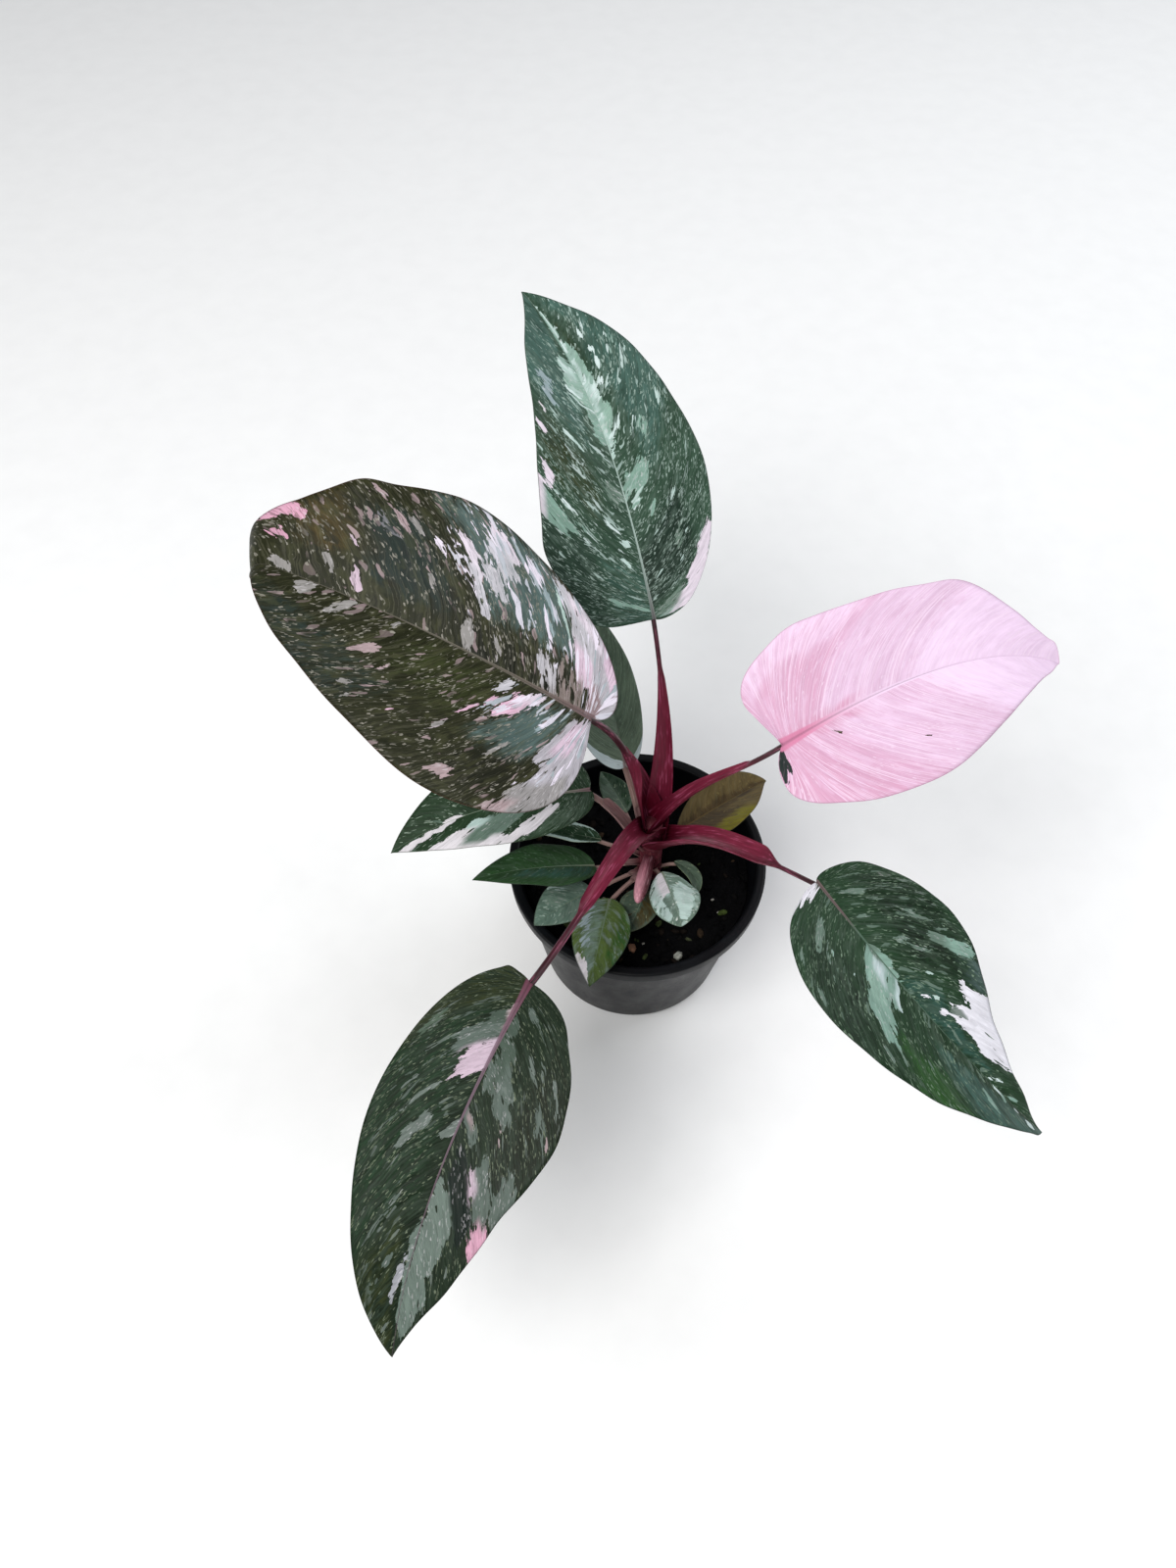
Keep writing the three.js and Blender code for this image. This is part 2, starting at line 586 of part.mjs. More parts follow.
// Even shares of the stalk's length, with the two round the end of the sheath moved up to it.
function sectionShares(stalk, steps) {
  const [sheathEnd] = stalk.sheath;
  const { fade = SHEATH.fade } = stalk;
  const shares = Array.from({ length: steps + 1 }, (_, k) => k / steps);
  const before = Math.floor(sheathEnd * steps);
  shares[before] = sheathEnd - fade;
  shares[before + 1] = sheathEnd + fade;
  return shares;
}

function stalkCurve(leaf) {
  const { root, end, radius, offset = ROOT_OFFSET } = leaf.stalk;
  const start = new THREE.Vector3(STEM.x, STEM.y, root[0]).addScaledVector(direction(root[1], 0), offset);
  const midrib = midribFrames(leaf)[0];
  const finish = new THREE.Vector3(...leaf.base)
    .addScaledVector(midrib.tangent, STALK.underBlade * radius)
    .addScaledVector(midrib.normal, -radius - BLADE.thickness / 2);
  const handle = STALK.handle * start.distanceTo(finish);
  return new THREE.CubicBezierCurve3(
    start,
    start.clone().addScaledVector(direction(root[1], root[2]), handle),
    finish.clone().addScaledVector(direction(...end), -handle),
    finish);
}

function stalkSolid(leaf, detail, grow = 0) {
  const curve = stalkCurve(leaf);
  const rings = sectionShares(leaf.stalk, detail.stalkSteps).map((share) => {
    const centre = curve.getPointAt(share);
    const tangent = curve.getTangentAt(share);
    const left = new THREE.Vector3(-tangent.y, tangent.x, 0).normalize();
    const upper = new THREE.Vector3().crossVectors(tangent, left);
    return stalkSection(leaf.stalk, share, detail.stalkSides, grow).map((p) => (
      centre.clone().addScaledVector(left, p.x).addScaledVector(upper, p.y)));
  });
  return solidFrom(loft(rings, stalkSection(leaf.stalk, 0, detail.stalkSides, grow)));
}

// ------------------------------------------------------------------------- bud sheath

function budSheathSolid() {
  const { root, length, radius, sides, profile } = BUD_SHEATH;
  const [height, heading, pitch] = root;
  const points = profile.map(([across, along]) => new THREE.Vector2(across * radius, along * length));
  const bud = new THREE.LatheGeometry(points, sides);
  const upright = new THREE.Vector3(0, 1, 0);
  bud.applyQuaternion(new THREE.Quaternion().setFromUnitVectors(upright, direction(heading, pitch)));
  const start = new THREE.Vector3(STEM.x, STEM.y, height).addScaledVector(direction(heading, 0), ROOT_OFFSET);
  return solidFrom(bud.translate(start.x, start.y, start.z));
}

// -------------------------------------------------------------------------- assembly

const leaves = [
  ...LARGE_LEAVES.map((leaf) => ({ ...leaf, detail: LARGE_MESH, stalkFinish: STALK_FINISH })),
  ...SMALL_LEAVES.map((leaf) => (
    { ...SMALL_LEAF_SHAPE, ...leaf, detail: SMALL_MESH, stalkFinish: PALE_STALK_FINISH })),
];

// Each leaf's node leaves a scar round the stem, unless the scar below it is too close.
const scarHeights = [];
for (const height of leaves.map((leaf) => leaf.stalk.root[0]).sort((a, b) => a - b)) {
  if (height - (scarHeights.at(-1) ?? 0) > SCAR.spacing) scarHeights.push(height);
}
const stemCutter = stemSolid(scarHeights, GAP);

const plant = new THREE.Group();
plant.add(namedMesh('pot', geometryOf(potSolid()), POT_FINISH));
plant.add(namedMesh('soil', geometryOf(soilSolid(stemCutter)), SOIL_FINISH));
plant.add(namedMesh('stem', geometryOf(stemSolid(scarHeights, 0)), STEM_FINISH));

// Each stalk is trimmed to its seat on the stem, to its blade and to the stalks before it.
let taken = stemCutter;
for (const leaf of leaves) {
  const blade = bladeSolid(leaf, leaf.detail, BLADE.thickness);
  const bladeCutter = bladeSolid(leaf, leaf.detail, BLADE.thickness + 2 * GAP);
  const stalk = mainBody(stalkSolid(leaf, leaf.detail).subtract(taken).subtract(bladeCutter));
  taken = taken.add(stalkSolid(leaf, leaf.detail, GAP));
  const bladeFinish = { color: leaf.colour, roughness: BLADE_ROUGHNESS };
  plant.add(namedMesh(`${leaf.name}_blade`, geometryOf(blade), bladeFinish));
  plant.add(namedMesh(`${leaf.name}_stalk`, geometryOf(stalk), leaf.stalkFinish));
}
const budSheath = mainBody(budSheathSolid().subtract(taken));
plant.add(namedMesh('bud_sheath', geometryOf(budSheath), BUD_SHEATH.finish));

export default plant;
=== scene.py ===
import math
import random

import bmesh
import bpy
import numpy as np
from mathutils import Matrix, Vector, noise


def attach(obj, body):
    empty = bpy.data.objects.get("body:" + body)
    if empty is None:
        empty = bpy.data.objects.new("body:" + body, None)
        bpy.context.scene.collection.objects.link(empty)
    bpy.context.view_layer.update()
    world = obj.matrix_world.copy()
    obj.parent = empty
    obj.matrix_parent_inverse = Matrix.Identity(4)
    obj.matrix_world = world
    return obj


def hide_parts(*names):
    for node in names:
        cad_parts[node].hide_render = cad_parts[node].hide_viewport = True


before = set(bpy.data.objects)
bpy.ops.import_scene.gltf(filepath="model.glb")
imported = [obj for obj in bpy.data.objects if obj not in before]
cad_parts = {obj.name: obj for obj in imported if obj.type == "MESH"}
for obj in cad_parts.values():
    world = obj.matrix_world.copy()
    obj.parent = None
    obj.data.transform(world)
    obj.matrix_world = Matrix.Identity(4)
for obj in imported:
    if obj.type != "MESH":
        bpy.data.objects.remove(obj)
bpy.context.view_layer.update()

MM = 0.001

# ---- leaf forms

MIDRIB_STEPS = 96
DROOP_POWER = 1.5
CURL_POWER = 1.5
VEIN = {"lag": 2.4, "bow": 0.3, "spread": 0.6}
WAVE_PHASE = 1.1
LOBE_PEAK = 0.58
SWELL_EASE = 8
STEM = {"x": 6, "y": 1, "bottom": 46, "top": 109, "radius": 5.8, "narrowing": 1.6, "cap": 0.6, "sides": 64,
        "rings": 120, "scar_rise": 0.5, "scar_drop": 0.4, "scar_width": 0.7}

# A leaf's blade starts at its base with a heading and a pitch, droops, bends, rolls and twists
# along its length, and curls at its tip. Each half has a width, the place of its widest part, a
# taper, a lobe at the base, a fold, and swells of its margin as (place, width, height). The stalk
# starts at root, as (height, heading, pitch), offset from the stem's axis, and arrives with the
# heading and pitch of end. Its sheath is (end, width at the stem, width at its end) and fades out
# there. grid is the steps along a blade and across a half, rings the steps and sides of a stalk.
SHAPE = dict(
    curl=0, curl_from=0.9, bend=0, bend_power=1.5, roll=0, twist=0, fold=(12, 12), arch=0.05, wave=0.6,
    waves=2, swells=((), ()), offset=3.4, fade=0.03)
LARGE = dict(SHAPE, wave=1, waves=2.5, grid=(200, 30), rings=(110, 36), stalk="red")
SMALL = dict(
    SHAPE, widest=(0.4, 0.4), taper=(1, 1), lobe=(0, 0), radius=1, sheath=(0.3, 1.6, 1.2),
    grid=(64, 12), rings=(48, 24), stalk="pale")
MEDIUM = dict(SMALL, grid=(110, 18))

LEAVES = {}
LEAVES["left_leaf"] = dict(
    LARGE, base=(-22, -15.5, 208), length=152, heading=159, pitch=20, droop=24, curl=110, curl_from=0.86,
    bend=-3, roll=-18, twist=-6, half_width=(53, 50), widest=(0.28, 0.5), taper=(1.08, 0.82),
    lobe=(10, 12), fold=(9, 13), arch=0.1, wave=1.2, root=(107, 124, 67), end=(-126, 57), radius=1.5,
    sheath=(0.46, 5.8, 4.2),
    swells=(((0.49, 0.07, -1.6), (0.7, 0.06, 1.8), (0.84, 0.04, -2), (0.96, 0.03, 1.6)),
            ((0.5, 0.08, 1), (0.66, 0.04, 2.6), (0.86, 0.04, 3.4))))
LEAVES["back_leaf"] = dict(
    LARGE, base=(3, 44, 196), length=153.5, heading=106, pitch=36, droop=28, bend=20, bend_power=1.6,
    roll=-2, twist=5, half_width=(38, 36), widest=(0.23, 0.4), taper=(1, 0.94), lobe=(2, 3),
    root=(99, 70, 75), end=(114, 63), radius=1, sheath=(0.77, 6.4, 1.3),
    swells=(((0.05, 0.06, 1.6), (0.33, 0.04, 1.4), (0.7, 0.1, 2.6)),
            ((0.13, 0.05, 1), (0.5, 0.07, -1.4), (0.66, 0.1, 0.8))))
LEAVES["pink_leaf"] = dict(
    LARGE, base=(49.5, -18.5, 196), length=132.5, heading=26, pitch=18, droop=55, bend=-11,
    bend_power=1.8, roll=20, twist=5, half_width=(37, 38.5), widest=(0.29, 0.33), taper=(0.8, 1.15),
    lobe=(9.5, 13), fold=(12, 10), root=(105, 8, 72), end=(-22, 62), radius=1.1, sheath=(0.77, 5, 1.5),
    offset=0.5,
    swells=(((0.05, 0.04, 1.6), (0.31, 0.04, 1.4), (0.42, 0.05, -0.8), (0.6, 0.06, 4.4),
             (0.76, 0.04, -1.2), (0.89, 0.05, 3.2)),
            ((0.11, 0.04, 1.4), (0.24, 0.05, -1), (0.43, 0.06, 0.8), (0.84, 0.06, 1))))
LEAVES["right_leaf"] = dict(
    LARGE, base=(63.5, -59.5, 165), length=126, heading=-53, pitch=-12, droop=23, bend=25,
    bend_power=1.7, roll=-3, twist=-20, half_width=(37, 36.5), widest=(0.36, 0.34), taper=(1.37, 0.95),
    lobe=(5, 1), fold=(9, 11), root=(93, -33, 60), end=(-42, 19), radius=0.95, sheath=(0.78, 6, 4.6),
    fade=0.06,
    swells=(((0.16, 0.06, 2.2), (0.4, 0.08, 2), (0.62, 0.04, -1), (0.79, 0.05, 1.8)),
            ((0.09, 0.06, -2.8), (0.46, 0.12, 1.4), (0.6, 0.05, 0.8), (0.89, 0.04, 1.2))))
LEAVES["front_leaf"] = dict(
    LARGE, base=(-44.5, -94, 148), length=145.5, heading=-118, pitch=-14, droop=31, bend=18,
    bend_power=1.8, roll=-3, half_width=(35, 33), widest=(0.31, 0.39), taper=(1.16, 1.02), lobe=(0, 6),
    fold=(11, 12), root=(103, -121, 67), end=(-123, 7), radius=1.4, sheath=(0.655, 6.2, 2.7),
    swells=(((0.21, 0.05, -1.6), (0.4, 0.06, 1.8), (0.54, 0.04, -1.2), (0.7, 0.05, 1)),
            ((0.06, 0.05, 4), (0.76, 0.16, 1.8))))
LEAVES["striped_leaf"] = dict(
    MEDIUM, base=(-22.5, 6, 128), length=92, heading=-167, pitch=7, droop=36, bend=10, roll=-5,
    half_width=(21, 24), widest=(0.36, 0.36), lobe=(3, 3), root=(86, 175, 60), end=(170, 30), radius=1.4,
    sheath=(0.8, 4, 2.8))
LEAVES["shaded_leaf"] = dict(
    MEDIUM, base=(-7, 17, 130), length=90, heading=103, pitch=25, droop=34, bend=5, half_width=(20, 13),
    widest=(0.38, 0.38), lobe=(3, 3), root=(84, 125, 66), end=(126, 60), radius=1.4,
    sheath=(0.5, 2.6, 2))
LEAVES["fading_leaf"] = dict(
    MEDIUM, base=(18, 8, 90), length=50, heading=29, pitch=14, droop=18, bend=4, roll=-24,
    half_width=(19, 22), widest=(0.62, 0.42), taper=(0.62, 1.3), lobe=(1, 2), root=(80, 35, 50),
    end=(38, 10), radius=1.2, sheath=(0.4, 2, 1.5))
LEAVES["low_left_leaf"] = dict(
    SMALL, base=(-20, -8, 86), length=58, heading=-166, pitch=22, droop=24, bend=3, roll=10,
    half_width=(13, 13), widest=(0.38, 0.38), lobe=(1, 1), root=(75, -160, 45), end=(-165, 20),
    radius=1.1, sheath=(0.4, 2, 1.5))
LEAVES["silver_leaf"] = dict(
    SMALL, base=(-21, -17, 79), length=34, heading=-141, pitch=20, droop=26, roll=6, half_width=(12, 12),
    taper=(0.9, 0.9), lobe=(1, 1), root=(71, -140, 40), end=(-141, 15))
LEAVES["low_front_leaf"] = dict(
    SMALL, base=(-13, -23, 82), length=48, heading=-101, pitch=18, droop=24, half_width=(13, 13),
    widest=(0.45, 0.45), lobe=(1, 1), root=(72, -118, 45), end=(-115, 25), radius=1.1,
    sheath=(0.4, 2, 1.5))
LEAVES["narrow_leaf"] = dict(
    SMALL, base=(-17, 3, 91), length=36, heading=178, pitch=18, droop=20, half_width=(6, 6),
    fold=(30, 30), root=(79, 178, 50), end=(172, 25))
LEAVES["olive_leaf"] = dict(
    SMALL, base=(4, -17, 80), length=23, heading=-112, pitch=8, droop=30, half_width=(9, 9),
    widest=(0.45, 0.45), taper=(0.9, 0.9), root=(70, -95, 50), end=(-98, 20))
LEAVES["rear_leaf"] = dict(
    SMALL, base=(-5, 20.5, 87), length=25, heading=120, pitch=16, droop=24, half_width=(7, 7),
    root=(70, 118, 50), end=(118, 25))
LEAVES["mint_leaf"] = dict(
    SMALL, base=(11, -10, 84), length=29, heading=-74, pitch=14, droop=40, half_width=(12, 11),
    widest=(0.6, 0.55), taper=(0.75, 0.85), lobe=(1, 1), wave=1.2, root=(73, -62, 60), end=(-60, 45))
LEAVES["curled_leaf"] = dict(
    SMALL, base=(17, -2.5, 81), length=23, heading=-30, pitch=6, droop=12, bend=-90,
    half_width=(3.6, 3.6), widest=(0.45, 0.45), fold=(25, 25), wave=0.3, root=(71, -15, 45),
    end=(-25, 30), radius=0.9, sheath=(0.3, 1.5, 1.1))

# ---- leaf marks

# 8-bit sRGB colours, as a photograph in soft light shows them.
COLOUR = {
    "white": (218, 213, 218), "pink_white": (214, 203, 215), "pink": (214, 174, 196),
    "strong_pink": (206, 156, 178), "rose_grey": (208, 184, 202), "pale_grey": (158, 160, 166),
    "bright": (232, 222, 237), "dusky_pink": (199, 178, 193), "ice": (190, 206, 207),
    "brown_rose": (142, 120, 124), "frost": (204, 220, 218), "snow": (228, 226, 234),
    "slate_green": (70, 84, 74), "band_slate": (102, 116, 108), "band_mint": (138, 168, 154),
    "grey": (140, 137, 135), "pink_grey": (164, 144, 147), "grey_white": (184, 182, 189),
    "lobe_grey": (172, 168, 176), "brown_grey": (130, 118, 114), "silver": (106, 116, 110),
    "mint": (124, 154, 141), "pale_mint": (176, 198, 192), "blue_mint": (142, 158, 163),
    "grey_mint": (98, 118, 106), "grey_green": (74, 90, 76), "slate": (88, 100, 93),
    "blue_green": (72, 90, 88), "dark_blue": (32, 43, 39), "dark": (20, 22, 11),
    "olive": (30, 32, 15), "olive_brown": (66, 55, 27), "moss": (42, 48, 22),
    "green": (24, 48, 28), "soft_green": (44, 67, 52), "shade_green": (28, 46, 36),
    "dark_green": (13, 25, 14), "bright_green": (38, 74, 30), "sea_green": (44, 75, 66),
    "tip_green": (62, 90, 82), "charcoal": (36, 46, 44), "deep_green": (10, 24, 18),
    "light_pink": (211, 165, 193), "pale_pink": (222, 192, 218), "lilac_white": (238, 212, 238),
    "rose": (206, 152, 180), "tan": (90, 77, 48), "brown": (70, 57, 37),
    "yellow_green": (108, 102, 30), "leaf_red": (76, 36, 36),
}

# A leaf's look has a ground, and flecks, spots, a soft haze and pale vein lines as (colour,
# amount). It has two colours of shards, the ground's mottle, the dark streaks on the marks, the
# midrib's colours at the base and the tip with the range of their turn, the width of the midrib's
# colour, the line along the margin, how much the strands waver and how ragged the zones are.
#
# A zone changes the ground, a mark covers it, and shards lie over everything where a leaf is
# broken up. A list holds colours, each with its patches, and None takes away the marks before it.
# A patch is the range of veins in thousandths of the way to the tip, the range of reach from
# midrib to margin in hundredths, and its strength in hundredths where it isn't full.
LOOK = dict(
    mottle=0.26, streaks=0.3, lines=("grey_mint", 0.1), haze=("grey_green", 0.3),
    midrib=((120, 128, 108), (104, 124, 104)), rib=0.7, turn=(0.1, 0.65), edge=(46, 60, 46),
    shards=("mint", "pale_mint"), waver=1, ragged=1.3, left_broken=(), right_broken=(),
    left_zones=(), right_zones=(), left_marks=(), right_marks=())

LOOKS = {}
LOOKS["left_leaf"] = dict(
    LOOK, ground="olive", flecks=((148, 144, 134), 0.75), spots=("pink_grey", 0.8),
    haze=((80, 82, 54), 0.25), shards=("blue_mint", "bright"), lines=((120, 118, 98), 0.2), streaks=0.6,
    midrib=((108, 86, 88), (100, 95, 85)), rib=0.85, edge=(72, 44, 38),
    left_broken=[("shards", (0, 190, 6, 62, 30), (260, 520, 2, 30, 34))],
    right_broken=[
        ("shards", (260, 520, 25, 90, 30), (500, 660, 28, 72, 10), (0, 270, 0, 100, 40),
            (600, 900, 50, 95, 2))],
    # The blue_green zones here and in the right half are painted sheen: a bluish reflection of the sky, laid
    # into the ground colour.
    left_zones=[
        ("blue_green", (250, 420, 10, 48)), ("dark", (200, 360, 50, 80)),
        ("dark_blue", (600, 900, 60, 100, 50)), ("moss", (500, 700, 10, 50, 60))],
    right_zones=[
        ("blue_green", (280, 580, 30, 96)), ("dark_blue", (660, 800, 20, 80)),
        ("olive_brown", (790, 880, 45, 98, 60)), ("dark", (200, 660, 0, 20))],
    left_marks=[
        ("lobe_grey", (0, 170, 4, 100), (150, 240, 6, 44)),
        ("grey", (40, 190, 66, 100, 80), (327, 343, 43, 60, 95), (820, 836, 4, 43, 95),
            (878, 895, 5, 42, 95), (744, 757, 4, 14, 90), (628, 647, 78, 86), (586, 602, 82, 92, 95)),
        ("rose_grey", (90, 200, 8, 36, 90)),
        ("pink_grey", (140, 190, 84, 100, 95), (312, 360, 78, 88, 90), (707, 732, 40, 59),
            (662, 673, 48, 60, 90)),
        ("pink", (420, 474, 10, 30)), ("pink_white", (400, 458, 3, 15, 95)),
        ("grey_white", (490, 530, 3, 17, 72)),
        ("pink", (484, 497, 20, 47), (538, 546, 72, 79, 90)),
        ("blue_mint", (310, 330, 6, 30, 85)), ("grey", (468, 480, 56, 66, 95))],
    right_marks=[
        ("lobe_grey", (0, 200, 0, 100)), ("grey_white", (180, 290, 30, 94, 90)),
        ("brown_rose", (20, 200, 2, 34, 90)),
        ("rose_grey", (50, 130, 70, 100), (190, 290, 18, 48, 95)),
        ("pink_white", (140, 260, 74, 90, 95), (430, 480, 70, 90)),
        ("brown_grey", (240, 440, 0, 24, 66)),
        ("grey_white", (380, 460, 3, 22, 80), (460, 520, 56, 78), (515, 560, 42, 60)),
        (None, (330, 348, 5, 26), (298, 315, 2, 14), (370, 385, 2, 12)),
        ("pink_white", (570, 592, 50, 77)), ("grey_white", (580, 604, 26, 56)),
        ("blue_mint", (352, 376, 48, 70), (380, 402, 34, 52)),
        ("pale_mint", (300, 318, 44, 80, 90)), ("grey", (625, 650, 1, 20)),
        ("pink_grey", (703, 717, 65, 79), (716, 727, 85, 95, 90)),
        ("grey", (677, 690, 65, 77), (690, 699, 30, 40, 90), (853, 870, 22, 38), (924, 950, 2, 18, 80),
            (563, 574, 5, 20, 90)),
        ("dusky_pink", (820, 830, 8, 34, 95), (804, 813, 50, 63, 90)),
        ("strong_pink", (870, 930, 89, 100, 90), (870, 890, 80, 90), (913, 936, 55, 76))])
LOOKS["back_leaf"] = dict(
    LOOK, ground="soft_green", flecks=((160, 180, 170), 1.25), spots=("pale_mint", 0.6),
    haze=("grey_mint", 0.3), shards=("mint", "frost"), lines=("grey_mint", 0.2),
    midrib=((104, 102, 102), (170, 190, 182)), rib=0.85, edge=(44, 60, 48),
    left_broken=[("shards", (300, 970, 4, 96, 3), (780, 880, 0, 42, 30))],
    right_broken=[
        ("shards", (400, 700, 10, 90, 2), (700, 970, 36, 96, 10), (740, 970, 0, 24, 40),
            (590, 660, 4, 36, 20))],
    left_zones=[
        ("tip_green", (700, 980, 30, 100, 90)), ("moss", (500, 640, 35, 95, 60)),
        ("shade_green", (40, 400, 45, 100, 70)), ("tip_green", (0, 400, 0, 40, 40))],
    right_zones=[
        ("tip_green", (600, 960, 40, 100, 80)), ("moss", (860, 940, 20, 70, 50)),
        ((18, 36, 27), (240, 500, 0, 60, 95))],
    left_marks=[
        ("band_mint", (790, 866, 0, 42)),
        ("mint", (730, 800, 0, 16), (850, 960, 0, 10), (340, 420, 72, 100), (375, 400, 62, 80),
            (183, 216, 5, 43, 95)),
        ("pale_mint", (835, 868, 12, 42, 85), (660, 674, 40, 66), (480, 497, 8, 17),
            (410, 430, 15, 22, 90)),
        ("blue_mint", (700, 790, 68, 86, 72)), ("frost", (664, 676, 56, 66)),
        ("pink_white", (450, 506, 84, 94), (340, 440, 95, 100), (585, 602, 88, 97, 95)),
        ("frost", (443, 457, 62, 80), (508, 521, 18, 31)),
        ("white", (654, 668, 84, 93, 90)), ("grey_mint", (600, 640, 6, 26, 85))],
    right_marks=[
        ("band_mint", (720, 970, 0, 12), (750, 900, 6, 24)),
        ("frost", (860, 970, 3, 9, 90)),
        ("pale_mint", (770, 870, 2, 10, 90), (710, 760, 2, 8), (475, 490, 46, 57),
            (615, 632, 80, 90, 85)),
        ("frost", (800, 830, 10, 24, 85), (858, 872, 56, 66), (836, 850, 50, 60), (812, 828, 43, 54),
            (800, 812, 28, 40, 95)),
        ("mint", (592, 655, 3, 36), (645, 680, 46, 57, 90), (530, 550, 18, 30, 90)),
        (None, (603, 622, 3, 14)),
        ("pink_white", (40, 160, 38, 100), (120, 235, 50, 99), (210, 265, 66, 95)),
        ("grey_white", (30, 100, 20, 62, 90)),
        ("grey_mint", (90, 200, 5, 44, 80), (360, 400, 36, 50, 70)),
        ("mint", (30, 90, 10, 40, 80))])
LOOKS["pink_leaf"] = dict(
    LOOK, ground="light_pink", flecks=((236, 214, 232), 0.3), spots=("lilac_white", 0.2),
    haze=("lilac_white", 0.25), lines=((242, 218, 238), 0.7), mottle=0.05, streaks=0.06,
    midrib=((206, 126, 160), (230, 204, 228)), rib=2.2, turn=(0.3, 0.66), edge=(196, 144, 174),
    waver=0.3, ragged=0.5,
    # The zones grow paler towards the tip: partly the leaf's own paler tip, partly painted light that makes
    # up for the shade on the drooping tip.
    left_zones=[
        ("rose", (100, 440, 0, 90, 30)), ("lilac_white", (60, 400, 66, 100, 60)),
        ("pale_pink", (420, 720, 0, 100, 75)), ("lilac_white", (680, 1000, 0, 100, 90)),
        ("rose", (0, 550, 0, 9, 90))],
    # The broad rose zone over the base of this half is painted shade on the lower lobe.
    right_zones=[
        ("rose", (0, 300, 0, 100, 65)), ("pale_pink", (420, 720, 0, 100, 60)),
        ("lilac_white", (700, 1000, 0, 100, 90)), ("rose", (0, 550, 0, 9, 90))],
    right_marks=[
        ("charcoal", (0, 34, 12, 98.5), (30, 50, 30, 60, 90)),
        ("brown", (415, 423, 11, 19), (519, 527, 61, 64, 95))])
LOOKS["right_leaf"] = dict(
    LOOK, ground=(30, 54, 33), flecks=((124, 146, 124), 0.75), spots=("grey_mint", 0.8),
    shards=("grey_mint", "silver"), lines=("grey_mint", 0.2), streaks=0.06,
    midrib=((108, 92, 92), (86, 110, 94)), rib=0.85, turn=(0.4, 0.52), edge=(32, 46, 36),
    left_broken=[("shards", (50, 500, 4, 96, 4), (600, 800, 20, 60, 5))],
    right_broken=[("shards", (100, 500, 10, 90, 3), (800, 970, 5, 60, 8))],
    left_zones=[
        ("dark_green", (150, 600, 30, 90, 60)), ("blue_green", (500, 620, 80, 100, 60)),
        ("sea_green", (660, 860, 4, 40, 80))],
    right_zones=[
        ("bright_green", (600, 740, 60, 100, 80)), ("dark_green", (250, 550, 30, 100, 40)),
        ("tip_green", (760, 1000, 30, 100, 80))],
    left_marks=[
        ("snow", (620, 730, 70, 100), (690, 830, 49, 100), (735, 785, 39, 60), (612, 640, 70, 80, 95),
            (696, 708, 13, 26), (730, 742, 22, 35), (807, 820, 62, 90, 95)),
        ("pale_mint", (618, 628, 37, 45, 95), (690, 700, 29, 36, 95)),
        ("grey_mint", (540, 585, 0, 5), (460, 510, 62, 80), (512, 534, 26, 42, 95),
            (530, 548, 40, 53, 95), (430, 445, 6, 18, 90), (280, 315, 10, 30, 90),
            (760, 810, 15, 22, 95), (390, 415, 50, 64, 85)),
        ("mint", (570, 625, 0, 8), (610, 665, 0, 5), (462, 520, 74, 96), (925, 932, 10, 60, 90)),
        ("grey_green", (150, 200, 66, 82, 90)), ("frost", (884, 892, 2, 40))],
    right_marks=[
        ("mint", (545, 662, 0, 32), (540, 625, 26, 56), (550, 600, 50, 73), (388, 406, 34, 42, 95),
            (848, 862, 40, 80)),
        ("ice", (570, 620, 3, 22), (650, 664, 2, 33)), ("band_mint", (560, 600, 18, 44)),
        ("grey_mint", (530, 600, 0, 3), (285, 335, 24, 48), (365, 388, 34, 50, 95),
            (280, 330, 80, 93, 80), (190, 220, 72, 84, 80), (522, 538, 80, 92, 90),
            (583, 597, 74, 84, 90), (390, 405, 54, 62, 90)),
        ("snow", (0, 50, 10, 100), (30, 110, 4, 50), (100, 180, 4, 26, 95)),
        ("pale_mint", (487, 502, 32, 41, 95)),
        ("frost", (895, 915, 3, 14), (930, 945, 16, 34), (955, 972, 30, 75)),
        ("mint", (910, 917, 3, 36, 95))])
